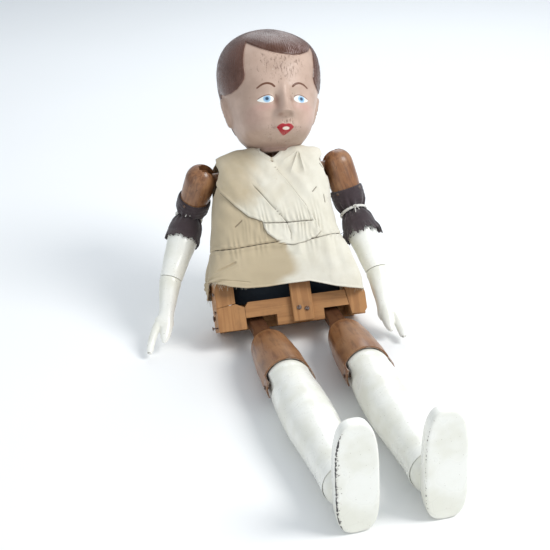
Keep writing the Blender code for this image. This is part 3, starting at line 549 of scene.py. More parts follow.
def woven(name, light, dark, stain_and_shade, pitch, sheen, stain_share=0.5, seed=0.0):
    """Plain-woven cloth from the "cloth" attribute, whose x and y run along the threads, in metres."""
    material, tree, shader = new_material(name, Specular_IOR_Level=0.2, Sheen_Weight=sheen,
                                         Sheen_Roughness=0.5)
    threads = place(tree, attribute="cloth")
    scale = 0.314 / (pitch * MM)
    wave = {"Vector": threads, "Scale": scale, "Distortion": 1.5, "Detail": 2.0, "Detail Scale": 1.0}
    warp = add(tree, "ShaderNodeTexWave", wave, bands_direction="X").outputs["Fac"]
    weft = add(tree, "ShaderNodeTexWave", wave, bands_direction="Y").outputs["Fac"]
    weave = times(tree, plus(tree, warp, weft), 0.5)
    slub = speckle(tree, place(tree, (1, 0.1, 1), attribute="cloth"), 500, 3, 0.6)
    cloud = speckle(tree, place(tree, rotation=(0, 0, seed)), 22, 5, 0.62, 0.4)
    small = speckle(tree, place(tree), 110, 3, 0.6)
    colour = blend_colour(tree, between(tree, cloud, 0.32, 0.68), light, dark)
    colour = blend_colour(tree, between(tree, weave, 0.2, 0.8, 0.35, 0), colour, dark)
    # Stains and, on the tunic, painted shade that darkens the figure's right side, read from the attribute.
    stain_and_shade_amount = plus(tree, value_of(tree, "stain_and_shade"), times(tree, cloud, 0.5))
    colour = blend_colour(tree, between(tree, stain_and_shade_amount, 0.45, 1.05, 0, stain_share), colour, stain_and_shade)
    colour = blend_colour(tree, between(tree, small, 0.68, 0.8, 0, 0.35), colour, stain_and_shade)
    # The "seam" attribute is painted shade: dark lines along cloth edges and in grooves.
    seam = between(tree, value_of(tree, "seam"), 0.1, 0.9, 0, 0.8)
    colour = blend_colour(tree, seam, colour, (0.10, 0.075, 0.05))
    connect(tree, shader, colour, between(tree, slub, 0.3, 0.7, 0.78, 0.92))
    height = plus(tree, times(tree, weave, 0.6), times(tree, slub, 0.5))
    bumped(tree, shader, height, 0.35, 0.55)
    return material


def thread(name, colour, shade):
    """Twisted thread: fine slanting ply lines with a little fuzz."""
    material, tree, shader = new_material(name, Specular_IOR_Level=0.2)
    ply = add(tree, "ShaderNodeTexWave", {"Vector": place(tree), "Scale": 300.0, "Distortion": 3.0},
              bands_direction="DIAGONAL").outputs["Fac"]
    fuzz = speckle(tree, place(tree), 900, 3, 0.6)
    connect(tree, shader, blend_colour(tree, between(tree, ply, 0.2, 0.8), shade, colour),
            between(tree, fuzz, 0.3, 0.7, 0.7, 0.9))
    bumped(tree, shader, ply, 0.2, 0.6)
    return material


def rusty_iron():
    material, tree, shader = new_material("rusty_iron_look", Metallic=0.7, Specular_IOR_Level=0.5)
    rust = speckle(tree, place(tree), 600, 4, 0.65)
    colour = blend_colour(tree, between(tree, rust, 0.4, 0.62), (0.20, 0.18, 0.17), (0.14, 0.06, 0.03))
    connect(tree, shader, colour, between(tree, rust, 0.35, 0.65, 0.4, 0.8))
    bumped(tree, shader, rust, 0.2, 0.6)
    return material


def studio_grey():
    material, tree, shader = new_material("studio_floor", Specular_IOR_Level=0.25)
    cloud = speckle(tree, place(tree), 1.2, 2, 0.5)
    colour = blend_colour(tree, between(tree, cloud, 0.3, 0.7), (0.93, 0.935, 0.94), (0.90, 0.905, 0.905))
    connect(tree, shader, colour, between(tree, cloud, 0.3, 0.7, 0.6, 0.7))
    return material


# ---------------------------------------------------------------- stage, camera and light

def make_stage(material):
    bm = bmesh.new()
    bmesh.ops.create_grid(bm, x_segments=8, y_segments=8, size=4.0)
    mesh = bpy.data.meshes.new("studio_floor")
    bm.to_mesh(mesh)
    bm.free()
    mesh.materials.append(material)
    floor = bpy.data.objects.new("studio_floor", mesh)
    floor.location.z = -0.0003
    bpy.context.scene.collection.objects.link(floor)


def make_camera():
    data = bpy.data.cameras.new("camera")
    data.lens = CAMERA_LENS
    data.sensor_width = 36.0
    camera = bpy.data.objects.new("camera", data)
    bpy.context.scene.collection.objects.link(camera)
    right = Vector(CAMERA_RIGHT)
    forward = Vector(CAMERA_FORWARD)
    up = right.cross(forward)
    matrix = Matrix((right, up, -forward)).transposed().to_4x4()
    matrix.translation = CAMERA_PLACE
    camera.matrix_world = matrix
    bpy.context.scene.camera = camera


def make_light(name, location, target, size, power, colour):
    data = bpy.data.lights.new(name, "AREA")
    data.shape = "DISK"
    data.size = size
    data.energy = power
    data.color = colour
    light = bpy.data.objects.new(name, data)
    bpy.context.scene.collection.objects.link(light)
    light.location = location
    light.rotation_euler = (Vector(target) - Vector(location)).to_track_quat("-Z", "Y").to_euler()


def make_lights():
    bpy.context.scene.view_settings.view_transform = "Standard"
    world = bpy.data.worlds.new("studio")
    world.use_nodes = True
    background = world.node_tree.nodes["Background"]
    background.inputs["Color"].default_value = (0.86, 0.93, 1.0, 1.0)
    background.inputs["Strength"].default_value = 0.66
    bpy.context.scene.world = world
    target = (0.0, -0.08, 0.12)
    make_light("key", (1.15, -0.75, 1.45), target, 0.9, 26, (1.0, 0.985, 0.96))
    make_light("fill", (-1.3, -1.2, 0.9), target, 1.4, 4, (1.0, 0.93, 0.84))
    make_light("back", (0.4, 1.3, 1.3), target, 1.2, 8, (0.93, 0.97, 1.0))


# ---------------------------------------------------------------- head

HEAD_SECTIONS = [
    # height above the neck ball: half width, front and back, in millimetres
    (15.5, 25.5, -21, 23), (20, 27, -22, 24), (25, 31.5, -44, 27), (31, 37, -59, 34),
    (42, 42.5, -66, 44), (56, 47, -68.5, 52), (72, 51.5, -67.5, 57), (90, 55, -66, 60),
    (108, 56, -63, 60), (123, 53.5, -56, 56), (136.5, 46.5, -44, 48), (147, 34, -28, 35),
    (154, 18, -10, 20), (156.4, 2, 2, 6),
]
FACE_OUTLINE = [
    # the bare skin's edge: degrees around from the front, and height
    (-42.9, 132.6), (-33, 127.4), (-21.6, 121.6), (-12, 117.6), (-4.6, 115.5), (5, 113.9), (13.8, 113.3),
    (23, 114.4), (31.2, 117.3), (42, 121.6), (50, 126), (57, 130), (52, 122), (46.5, 113), (42.5, 102),
    (39.5, 91), (41.5, 84.5), (48, 80.5), (61.7, 78), (78, 79.5), (94.4, 84), (99, 72), (107, 55),
    (118, 42), (140, 35), (181, 32), (181, 0), (-181, 0), (-181, 32), (-140, 35), (-118, 42), (-107, 55),
    (-99, 72), (-94.4, 84), (-78, 79.5), (-61.7, 78), (-50, 80), (-43.3, 84.5), (-39.6, 89), (-38.6, 94),
    (-40.2, 110), (-42.4, 131),
]
MM_PER_DEGREE = 0.97
BROW = [(10, 77.2), (13, 79.9), (18, 81.3), (23, 80.2), (28, 76.8)]
EYES = {-1: (-18.6, 64.4), 1: (19.9, 64.1)}


def line_distance(points, line):
    """Distance from each (n, 2) point to a polyline."""
    best = np.full(len(points), 1e9)
    line = np.asarray(line, float)
    for a, b in zip(line, line[1:]):
        span = b - a
        t = np.clip(((points - a) @ span) / (span @ span), 0, 1)
        best = np.minimum(best, np.linalg.norm(points - a - t[:, None] * span, axis=1))
    return best


def inside_outline(points, outline):
    x, y = points[:, 0], points[:, 1]
    inside = np.zeros(len(points), bool)
    outline = np.asarray(outline, float)
    for (ax, ay), (bx, by) in zip(outline, np.roll(outline, -1, axis=0)):
        crosses = (ay > y) != (by > y)
        if by != ay:
            inside ^= crosses & (x < (bx - ax) * (y - ay) / (by - ay) + ax)
    return inside


def signed_distance(points, outline):
    """Positive outside a closed outline."""
    closed = list(outline) + [outline[0]]
    distance = line_distance(points, closed)
    return np.where(inside_outline(points, outline), -distance, distance)


def hump(x, z, cx, cz, sx, sz, power=2.0):
    return np.exp(-(np.abs((x - cx) / sx) ** power + np.abs((z - cz) / sz) ** power) / 2)


def both(x, z, cx, cz, sx, sz):
    return hump(x, z, cx, cz, sx, sz) + hump(x, z, -cx, cz, sx, sz)


def bell(value, width):
    """1 where value is 0, falling smoothly to nothing a few widths away."""
    return np.exp(-(value / width) ** 2)


def soft_step(value, low, high):
    t = np.clip((value - low) / (high - low), 0, 1)
    return t * t * (3 - 2 * t)


def field(points, scale, seed=0.0):
    """Smooth noise at each point, from about -1 to 1."""
    offset = Vector((seed * 3.1, seed * 1.7, seed))
    return np.array([noise.noise(Vector(p) / scale + offset) for p in points])


def face_relief(x, z, front):
    """How far the carved features stand out from the egg of the head, in millimetres."""
    relief = -3.6 * both(x, z, 20.5, 65, 10.5, 6.5)
    relief += 2.6 * both(x, z, 20.2, 64, 7.0, 4.4)
    relief += 1.5 * both(x, z, 20, 78, 13, 5)
    relief -= 2.2 * both(x, z, 9.5, 66, 3.8, 6)
    down = np.clip((76 - z) / 28, 0, 1)
    width = 4.2 + 3.6 * down ** 1.5
    ridge = (2.6 + 9.0 * down ** 1.2) * np.exp(-np.abs(x / width) ** 2.3)
    relief += ridge * soft_step(z, 42.5, 49.5) * soft_step(-z, -92, -70)
    relief += 2.6 * both(x, z, 7.2, 48.8, 3.2, 3.2)
    relief -= 1.3 * both(x, z, 4.4, 44.6, 2.6, 1.7)
    relief += 3.4 * both(x, z, 31, 44, 13, 13)
    relief -= 1.0 * both(x, z, 15, 39, 3.2, 8)
    relief += 2.6 * hump(x, z, 0, 33, 11.5, 8.5)
    relief += 1.2 * hump(x, z, 0, 35.4, 8, 1.9) + 1.3 * hump(x, z, 0, 29.4, 6, 2.0)
    relief -= 0.9 * hump(x, z, 0, 40.4, 1.9, 3)
    relief -= 1.5 * hump(x, z, 0, 24.8, 12, 2.2)
    relief += 1.8 * hump(x, z, 0, 18.5, 12, 5)
    return relief * front


def ear_relief(y, z):
    """A low, flat ear: a raised rim around a shallow hollow, with its lobe below."""
    u = (y + 2.0 + 0.12 * (z - 62)) / 9.5
    v = (z - 62) / 18.0
    r = np.sqrt(u**2 + v**2 * np.where(v > 0, 1.0, 1.1))
    rim = bell(r - 0.78, 0.20)
    body = soft_step(-r, -1.05, -0.75)
    hollow = np.exp(-((u / 0.42) ** 2 + ((v - 0.05) / 0.42) ** 2))
    return 3.0 * body + 1.6 * rim - 2.6 * hollow


def warped(count, low, high, centre, spread, gain):
    """Count values from low to high, packed more tightly around centre."""
    fine = np.linspace(low, high, 4000)
    density = 1 + gain * np.exp(-np.abs((fine - centre) / spread) ** 4)
    total = np.concatenate([[0], np.cumsum((density[1:] + density[:-1]) / 2)])
    return np.interp(np.linspace(0, total[-1], count), total, fine)


def make_head(material):
    table = np.array(HEAD_SECTIONS, float)
    steps = np.hypot(np.diff(table[:, 0]), np.diff(table[:, 1]))
    along = np.concatenate([[0], np.cumsum(steps)])
    rows, cols = 280, 430
    mid = np.interp(50, table[:, 0], along)
    s = warped(rows, 0, along[-1], mid, 36, 2.0)
    sections = smooth_table(np.column_stack([along, table]), s)
    degrees = warped(cols + 1, -180, 180, 0, 40, 2.4)[:-1]
    angle = np.radians(degrees - 90)
    cos_a, sin_a = signed_power(np.cos(angle), 2 / 2.15), signed_power(np.sin(angle), 2 / 2.15)
    z, half, front, back = (sections[:, k][:, None] for k in range(4))
    x = half * cos_a
    y = (front + back) / 2 + (back - front) / 2 * sin_a
    z = np.broadcast_to(z, x.shape)
    x, y, z = x.ravel(), y.ravel(), z.ravel()
    x = x - HEAD_ASIDE * soft_step(z, 15, 34)
    around = np.degrees(np.arctan2(x, -(y + 4)))
    facing = soft_step(-np.abs(around), -62, -40)
    flat = np.column_stack([around * MM_PER_DEGREE, z])
    outline = [(a * MM_PER_DEGREE, h) for a, h in FACE_OUTLINE]
    hair = signed_distance(flat, outline)
    points = np.column_stack([x, y, z])
    relief = face_relief(x, z, facing)
    relief += 1.5 * soft_step(hair, -0.35, 0.9) + 0.5 * soft_step(hair, 1, 9)
    relief += 0.5 * field(points, 34, 2) + 0.22 * field(points, 11, 5)
    strands = np.sin(around * 2.1 + 3.0 * field(points, 30, 8)) * soft_step(hair, 1, 5)
    relief += 0.16 * strands
    side = soft_step(np.abs(around), 55, 68) * soft_step(-np.abs(around), -125, -110)
    relief += ear_relief(y, z) * side * soft_step(-hair, -2.5, 0.5)
    outward = np.column_stack([x / half.max() ** 2, (y + 4) / 62.0**2, (z - 85) / 80.0**2 * 0.5])
    outward /= np.linalg.norm(outward, axis=1)[:, None]
    forward = np.column_stack([x * 0.004, -np.ones_like(x), np.zeros_like(x)])
    mix = (facing * soft_step(-hair, -1, 1))[:, None]
    outward = forward * mix + outward * (1 - mix)
    points = points + outward * relief[:, None]
    skin, faces = capped_loft(points.reshape(rows, cols, 3))
    matrix = TORSO @ Matrix.Translation(Vector(NECK) * MM)
    matrix = matrix @ Matrix.Rotation(HEAD_TURN, 4, "Z") @ Matrix.Rotation(HEAD_ROLL, 4, "Y")
    head = make_object("carved_head", skin, faces, material, matrix)
    paint_head(head, x, z, around, hair, facing, y)
    return head


def paint_head(head, x, z, around, hair, facing, y):
    def keep(name, values):
        set_attribute(head, name, np.concatenate([values, [-9.0, -9.0]]))

    away = -9.0
    on_face = facing > 0.05
    flat = np.column_stack([x, z])
    keep("hair", hair)
    brow = np.full(len(x), away)
    eye = np.full(len(x), away)
    iris = np.full(len(x), away)
    pupil = np.full(len(x), away)
    lash = np.full(len(x), away)
    for sign, (ix, iz) in EYES.items():
        line = resample([(sign * a, b) for a, b in BROW], 1.0, 4)
        reach = np.interp(np.abs(x), [8, 12, 22, 34], [0.75, 1.25, 1.1, 0.5])
        brow = np.maximum(brow, reach - line_distance(flat, line))
        u = np.clip((sign * x - 11.3) / 17.4, 0, 1)
        height = 4.0 * np.sin(np.pi * u**0.72) ** 0.75
        middle = 64.2 - 0.9 * u
        lids = np.where((sign * x > 11.3) & (sign * x < 28.7), height - np.abs(z - middle), away)
        eye = np.maximum(eye, lids)
        from_iris = np.hypot(x - ix, z - iz)
        iris = np.maximum(iris, np.minimum(4.1 - from_iris, lids - 0.1))
        pupil = np.maximum(pupil, np.minimum(1.7 - from_iris, lids - 0.1))
        upper = 0.45 - np.abs(z - middle - height - 0.7)
        lash = np.maximum(lash, np.where((u > 0.04) & (u < 0.97), upper, away))
    mouth = np.clip(np.abs(x) / 9.6, 0, 1)
    top = 33.6 + 3.7 * (1 - mouth**2.5) - 0.9 * np.exp(-((x / 2.2) ** 2))
    bottom = 33.6 - 6.8 * (1 - mouth**1.6)
    lip = np.where(np.abs(x) < 9.6, np.minimum(top - z, z - bottom), away)
    teeth = 1.5 * (1 - np.hypot((x - 0.7) / 3.7, (z - 32.3) / 1.45))
    for name, values in (("brow", brow), ("eye", eye), ("iris", iris), ("pupil", pupil), ("lash", lash),
                         ("lip", lip), ("teeth", teeth)):
        keep(name, np.where(on_face, values, away))
    near_mouth = np.hypot(x / 17, (z - 31) / 9)
    craze = 1.1 * hump(x, z, -2, 104, 26, 13, 3) + 0.9 * bell(near_mouth - 0.95, 0.3)
    craze += 0.9 * both(x, z, 9.5, 66, 3.5, 7) + 0.7 * hump(x, z, 3, 44, 6, 4)
    craze += 0.5 * hump(x, z, 2, 86, 16, 9)
    keep("craze", craze * facing)
    keep("blush", 0.35 * both(x, z, 31, 46, 12, 9) * facing + 0.5 * both(x, z, 20, 56, 9, 3) * facing)
    ear_dark = np.exp(-(((y + 7) / 2.2) ** 2 + ((z - 61) / 4.0) ** 2)) * (np.abs(around) > 60)
    shade = 0.75 * soft_step(-z, -27, -17) + 0.7 * both(x, z, 9.3, 64.5, 2.1, 3.6) + 0.9 * ear_dark
    shade += 0.55 * hump(x, z, -8, 57, 2.6, 10) + 0.45 * both(x, z, 5.2, 45.8, 2.0, 1.1)
    shade += 0.5 * both(x, z, 11.3, 33.6, 1.3, 1.1)
    shade += 0.8 * bell(hair + 0.5, 0.45) * (z > 60)
    keep("shade", np.clip(shade, 0, 1))
    keep("worn", 0.8 * both(x, z, 12, 71, 4, 4) + 0.5 * hump(x, z, 4, 43, 5, 3))
    stroke = soft_step(around, 2, 14) * soft_step(-around, -50, -38) * soft_step(-z, -131, -124)
    keep("stroke", stroke * np.clip(np.sin(around * 2.6) * 1.6, 0, 1) * soft_step(hair, 0.8, 2.5))


# ---------------------------------------------------------------- tunic

TUNIC_SECTIONS = [
    # height: right, left, front, back (millimetres) and boxiness
    (40, -87, 81, -80, 8, 8.0), (62, -86, 75.5, -81, 8, 8.0), (90, -79, 69, -79, 7, 3.6),
    (120, -74, 65.5, -76, 6, 3.0), (150, -68.5, 64.5, -70, 5, 3.0), (172, -65.5, 64.5, -63, 4, 3.4),
    (184, -65.5, 65.5, -60.5, 2, 3.2), (191, -61, 60, -58, -4, 2.8), (195.5, -46, 46, -56, -9, 2.5),
    (198, -29, 38, -53, -9, 2.2),
]
HEM_LINE = [(-90, 55.5), (-84.6, 54.7), (-66, 47.5), (-48.4, 43.6), (-25, 42.3), (-3.6, 43.1), (19, 43.5),
            (34, 38.5), (48.2, 33.6), (63, 30), (78.2, 27.2), (90, 25.5)]
COLLAR_LINE = [(-60, 199), (-33, 198), (-22, 195.5), (-11, 191), (1, 184.5), (11, 189), (22, 194),
               (33, 197), (60, 199)]
WRAP_EDGE = [(-1, 182), (1, 175.8), (13, 155), (23.7, 134.9), (33.5, 115.7), (41, 95.7), (42.5, 90)]
SECOND_FOLD = [(-27.4, 157.8), (-18, 143), (-9.8, 129.9), (4.4, 110.3), (7.5, 97), (5.6, 85.5)]
UNDER_EDGE = [(-80, 171), (-64.8, 169.9), (-61.5, 152.8), (-48.4, 134.5), (-36, 121), (-22.1, 113.5)]
BIB_EDGE = [(-22.1, 113.5), (-21, 106), (-18.4, 99.6), (-6.5, 88.1), (7.6, 84.1), (20.3, 85.9), (33, 89),
            (41, 95.7)]
BAND = [(-21.2, 111.6), (-8, 110.2), (8, 109.2), (20, 109.0), (32.5, 108.4)]
WAIST_RIGHT = [(-88, 90.5), (-76, 89.5), (-56, 87.6), (-30, 89.2), (-6, 89.5)]
WAIST_LEFT = [(28.6, 88.5), (40, 89.5), (52, 91.0), (74, 92)]
SKIRT_STEP = [(-5.2, 88), (-5.0, 70), (-3.6, 56), (-3.0, 40)]
FAN_APEX = (31.3, 190.4)


def side_of(points, line):
    """Signed distance from an open line: positive to the right of its direction of travel."""
    line = np.asarray(line, float)
    best = np.full(len(points), 1e9)
    sign = np.ones(len(points))
    for a, b in zip(line, line[1:]):
        span = b - a
        t = np.clip(((points - a) @ span) / (span @ span), 0, 1)
        gap = points - a - t[:, None] * span
        distance = np.linalg.norm(gap, axis=1)
        nearer = distance < best
        cross = span[1] * (points[:, 0] - a[0]) - span[0] * (points[:, 1] - a[1])
        sign = np.where(nearer, np.sign(cross), sign)
        best = np.minimum(best, distance)
    return best * sign


def ledge(distance, height):
    """A cloth edge lying on the layer below: full height where distance is positive."""
    return height * soft_step(distance, -0.35, 0.35)


def front_relief(x, z, points):
    """Folds, layers and seams of the tunic's front in millimetres, with its stains plus painted shade on the
    figure's right side, and painted shade along its cloth edges and grooves.
    """
    flat = np.column_stack([x, z])
    big = field(points, 26, 1)
    small = field(points, 9, 2)
    slant = field(np.column_stack([x * 0.85 + z * 0.5, (z * 0.85 - x * 0.5) * 0.28, x * 0]), 9, 3)
    above_band = soft_step(z, 84, 92)
    wrap = side_of(flat, WRAP_EDGE)
    under = side_of(flat, UNDER_EDGE + BIB_EDGE[1:])
    panel = np.minimum(wrap, -under)
    second = side_of(flat, SECOND_FOLD)
    near_second = soft_step(z, 86, 92) * soft_step(-z, -160, -150)
    relief = 1.7 * big + 0.55 * small + 1.5 * slant * above_band
    relief += ledge(panel, 2.0)
    relief += 0.5 * bell(panel - 1.6, 1.1) * (panel > 0)
    relief += near_second * (0.9 * np.exp(-np.abs(second + 3.5) / 7) - 1.3 * bell(second, 0.75))
    third = side_of(flat, [(13.5, 150), (27.5, 128), (30.5, 109)])
    relief -= 0.7 * bell(third, 0.7) * (line_distance(flat, [(13.5, 150), (30.5, 109)]) < 9)
    from_band = line_distance(flat, BAND)
    over = z - np.interp(x, [p[0] for p in BAND], [p[1] for p in BAND])
    gathers = np.sin(x * 1.25 + 1.8 * np.sin(x * 0.31) + over * 0.12 * np.sign(over))
    fade = np.exp(-from_band / 9.0) * soft_step(from_band, 0.3, 3)
    relief += 1.1 * gathers * fade - 1.7 * bell(from_band, 0.9)
    waist = np.minimum(line_distance(flat, WAIST_RIGHT), line_distance(flat, WAIST_LEFT))
    relief += 0.9 * bell(waist - 2.6, 1.8) - 1.2 * bell(waist, 0.7)
    pucker = np.sin(x * 0.9 + 2 * np.sin(x * 0.23)) * np.exp(-waist / 7) * soft_step(waist, 0.4, 2.4)
    relief += 0.8 * pucker
    in_skirt = soft_step(-z, -88, -84)
    step = side_of(flat, SKIRT_STEP)
    relief += in_skirt * (ledge(-step, 1.1) - 0.2 * bell(step - 5.5, 0.9)
                          + 1.3 * bell(x + 12.0, 2.0) * soft_step(z, 58, 80))
    folds = (1.2 * bell(x - 13.5, 3.2) - 1.0 * bell(x - 22, 4.5)
             + 1.3 * bell(x - 43 - 0.12 * (88 - z), 5.5)
             - 1.1 * bell(x - 53 - 0.15 * (88 - z), 4.5))
    relief += 1.4 * in_skirt * folds * soft_step(z, 30, 80)
    crease = line_distance(flat, [(-86, 63.5), (-74, 67), (-57.9, 72.3)])
    relief += 1.0 * bell(crease - 2.2, 1.6) - 1.1 * bell(crease, 0.9)
    tuck = line_distance(flat, [(-86, 57.8), (-60, 53), (-45, 49.5)])
    relief -= 0.8 * bell(tuck, 0.6)
    dx, dz = x - FAN_APEX[0], z - FAN_APEX[1]
    spread, reach = np.degrees(np.arctan2(-dx, -dz)), np.hypot(dx, dz)
    inside = soft_step(spread, -22, -6) * soft_step(-spread, -66, -52)
    pleats = 1 - np.abs(np.sin(np.radians(spread) * 5.4 + 0.5)) ** 0.7
    relief += inside * soft_step(reach, 1, 6) * soft_step(-reach, -31, -20) * (3.4 * pleats - 0.9)
    nicks = np.zeros(len(x))
    for a, b in (((39.3, 141), (45, 146)), ((52.3, 128), (53, 137)), ((61.5, 158), (59, 166)),
                 ((57, 168), (54, 173)), ((-44, 118), (-52, 112))):
        nicks += bell(line_distance(flat, [a, b]), 0.7)
    relief -= 1.1 * nicks
    # Partly stains, partly painted shade: darker over the under panel, the skirt's right half, the upper
    # right chest and, faintly, the whole right side.
    tan_stain_and_side_shade = 0.95 * soft_step(-panel, -0.3, 0.4) * soft_step(-x, -6, 4) * soft_step(z, 80, 86)
    tan_stain_and_side_shade += 0.95 * in_skirt * soft_step(-x, 3.2, 5.2)
    upper_left = soft_step(-x, -8, 38) * soft_step(z, 108, 150)
    tan_stain_and_side_shade = np.maximum(tan_stain_and_side_shade, 0.72 * upper_left)
    tan_stain_and_side_shade = np.maximum(tan_stain_and_side_shade, 0.25 * soft_step(-x, -40, -5))
    # Painted shade: dark lines at the foot of the panel edge and skirt step, and in the fold, band, waist and
    # nick grooves.
    edge_line_shade = 0.85 * bell(panel + 0.35, 0.4) + 0.8 * near_second * bell(second, 0.5)
    edge_line_shade += 0.9 * bell(from_band, 0.6) + 0.85 * bell(waist, 0.5) + 0.8 * nicks
    edge_line_shade += 0.5 * in_skirt * bell(step + 0.3, 0.5)
    return relief, tan_stain_and_side_shade, np.clip(edge_line_shade, 0, 1)


def tunic_surface(cols, rows):
    """Column angles and row shares to base points, with the hem and collar lines as its ends."""
    table = np.array(TUNIC_SECTIONS, float)
    width = (table[:, 2] - table[:, 1]) / 2
    along = np.concatenate([[0], np.cumsum(np.hypot(np.diff(width), np.diff(table[:, 0])))])
    fine = np.linspace(-16, along[-1], 700)
    shape = smooth_table(np.column_stack([along, table]), np.clip(fine, 0, None))
    shape[:, 0] += np.minimum(fine, 0)
    angles = np.radians(warped(cols + 1, -180, 180, 0, 75, 1.6)[:-1] - 90)
    grid = np.zeros((rows, cols, 3))
    for c, angle in enumerate(angles):
        power = 2 / shape[:, 5]
        x = (shape[:, 1] + shape[:, 2]) / 2 + (shape[:, 2] - shape[:, 1]) / 2 * signed_power(
            np.cos(angle), power)
        y = (shape[:, 3] + shape[:, 4]) / 2 + (shape[:, 4] - shape[:, 3]) / 2 * signed_power(
            np.sin(angle), power)
        z = shape[:, 0]
        low = np.interp(x[0], [p[0] for p in HEM_LINE], [p[1] for p in HEM_LINE])
        if math.sin(angle) > 0:
            low = 33 - 0.05 * x[0]
        start = np.interp(low, z, fine)
        stop = fine[-1]
        if math.sin(angle) < 0:
            at = np.interp(180, z, x)
            stop = min(stop, np.interp(np.interp(at, [p[0] for p in COLLAR_LINE],
                                                 [p[1] for p in COLLAR_LINE]), z, fine))
        take = np.linspace(start, stop, rows)
        for k, values in enumerate((x, y, z)):
            grid[:, c, k] = np.interp(take, fine, values)
    return grid


def shell_normals(grid):
    around = np.roll(grid, -1, axis=1) - np.roll(grid, 1, axis=1)
    up = np.gradient(grid, axis=0)
    normal = np.cross(around, up)
    normal /= np.linalg.norm(normal, axis=2)[:, :, None] + 1e-9
    return normal


def make_tunic(linen, dark_thread):
    rows, cols = 330, 620
    base = tunic_surface(cols, rows)
    normal = shell_normals(base)
    points = base.reshape(-1, 3)
    x, y, z = points.T
    frontness = soft_step(-y, 30, 52) * soft_step(-np.abs(x), -86, -70)
    relief, tan_stain_and_side_shade, edge_line_shade = front_relief(x, z, points)
    behind = 1.2 * field(points, 22, 6) + 0.4 * field(points, 8, 7)
    around = np.degrees(np.arctan2(x, -(y + 36)))
    behind += 1.0 * np.sin(np.radians(around) * 11 + 0.05 * z) * soft_step(-z, -95, -60)
    waist = np.abs(z - 90)
    behind -= 1.0 * bell(waist, 0.8) * (y > -50)
    relief = relief * frontness + behind * (1 - frontness)
    flare = 2.5 * soft_step(-x, 66, 86) * bell(z - 52, 6.0)
    relief += flare * np.sin(z * 1.1 + y * 0.22)
    edge = np.repeat(np.linspace(0, 1, rows), cols)
    relief += 0.7 * bell(edge - 0.006, 0.006)
    collar_roll = soft_step(edge, 0.94, 0.985)
    relief = relief * (1 - 0.5 * collar_roll) + 0.9 * bell(edge - 0.985, 0.012)
    moved = points + normal.reshape(-1, 3) * relief[:, None]
    shoulder_y, shoulder_z = SHOULDER[1], SHOULDER[2]
    dy, dz = moved[:, 1] - shoulder_y, moved[:, 2] - shoulder_z
    reach = np.hypot(dy, dz)
    ragged = ARMHOLE_R + 0.5 * np.sin(np.arctan2(dz, dy) * 9) + 0.35 * field(moved, 4, 9)
    in_hole = (reach < ragged) & (np.abs(x) > 40)
    pull = np.where(reach > 1e-6, ragged / np.maximum(reach, 1e-6), 1.0)
    snapped = moved.copy()
    snapped[:, 1] = np.where(in_hole, shoulder_y + dy * pull, moved[:, 1])
    snapped[:, 2] = np.where(in_hole, shoulder_z + dz * pull, moved[:, 2])
    faces = [f for f in grid_faces(rows, cols) if not in_hole[list(f)].all()]
    tunic = make_object("linen_tunic", snapped, faces, linen, TORSO)
    # Stains plus painted shade on the figure's right side.
    set_attribute(tunic, "stain_and_shade", tan_stain_and_side_shade)
    # Painted shade along cloth edges and grooves, carried by the "seam" attribute.
    set_attribute(tunic, "seam", edge_line_shade * frontness)
    cloth = np.column_stack([around * 1.15, z, x * 0])
    set_vector(tunic, "cloth", np.where(frontness[:, None] > 0.5, np.column_stack([x, z, x * 0]), cloth) * MM)
    drop_loose(tunic)
    solid = tunic.modifiers.new("thickness", "SOLIDIFY")
    solid.thickness = 1.1 * MM
    solid.offset = -1
    solid.use_even_offset = False
    apply_modifiers(tunic)
    surface = BVHTree.FromObject(tunic, bpy.context.evaluated_depsgraph_get())
    finish_piece(tunic, "torso", "linen", "tunic")
    stitches = make_stitches(dark_thread, surface)
    frays = make_frays(linen, base)


def drop_loose(obj):
    bm = bmesh.new()
    bm.from_mesh(obj.data)
    loose = [v for v in bm.verts if not v.link_faces]
    bmesh.ops.delete(bm, geom=loose, context="VERTS")
    bm.to_mesh(obj.data)
    bm.free()


def tube(path, radius, cols=8, taper=0.0):
    """Points and faces of a thread along a path, in the same units as the path."""
    path = np.asarray(path, float)
    ahead = np.gradient(path, axis=0)
    ahead /= np.linalg.norm(ahead, axis=1)[:, None] + 1e-12
    side = np.cross(ahead, np.array([0.31, 0.52, 0.8]))
    side /= np.linalg.norm(side, axis=1)[:, None] + 1e-12
    up = np.cross(ahead, side)
    angles = np.linspace(0, 2 * math.pi, cols, endpoint=False)
    rings = []
    for i, centre in enumerate(path):
        share = i / (len(path) - 1)
        r = radius * (1 - taper * share)
        rings.append([centre + r * (math.cos(a) * side[i] + math.sin(a) * up[i]) for a in angles])
    return capped_loft(rings)


def join_parts(parts):
    points, faces, start = [], [], 0
    for part_points, part_faces in parts:
        points.append(np.asarray(part_points))
        faces += [tuple(i + start for i in face) for face in part_faces]
        start += len(part_points)
    return np.vstack(points), faces


def make_stitches(material, tree):
    """Dark running stitches along the gathered band and the waist seam, lying on the cloth."""
    rng = np.random.default_rng(SEED)
    parts = []
    for line, length, gap in ((BAND, 4.2, 0.4), (WAIST_RIGHT[1:], 4.4, 2.4), (WAIST_LEFT, 4.4, 1.6)):
        points = resample(line, 0.4, 2)
        along = 0.0
        while along < len(points) * 0.4 - length:
            first = int(along / 0.4)
            count = int(length / 0.4)
            piece = points[first:first + count] + rng.normal(0, 0.12, 2)
            path = []
            for i, (px, pz) in enumerate(piece):
                lift = 0.25 * math.sin(math.pi * i / (len(piece) - 1)) - 0.05
                path.append(on_front(tree, px, pz, lift))
            parts.append(tube(path, 0.26, 6))
            along += length + gap * rng.uniform(0.4, 1.6)
    points, faces = join_parts(parts)
    stitches = make_object("seam_stitches", points, faces, material, TORSO)
    return finish_piece(stitches, "torso", "elbow_cloth")


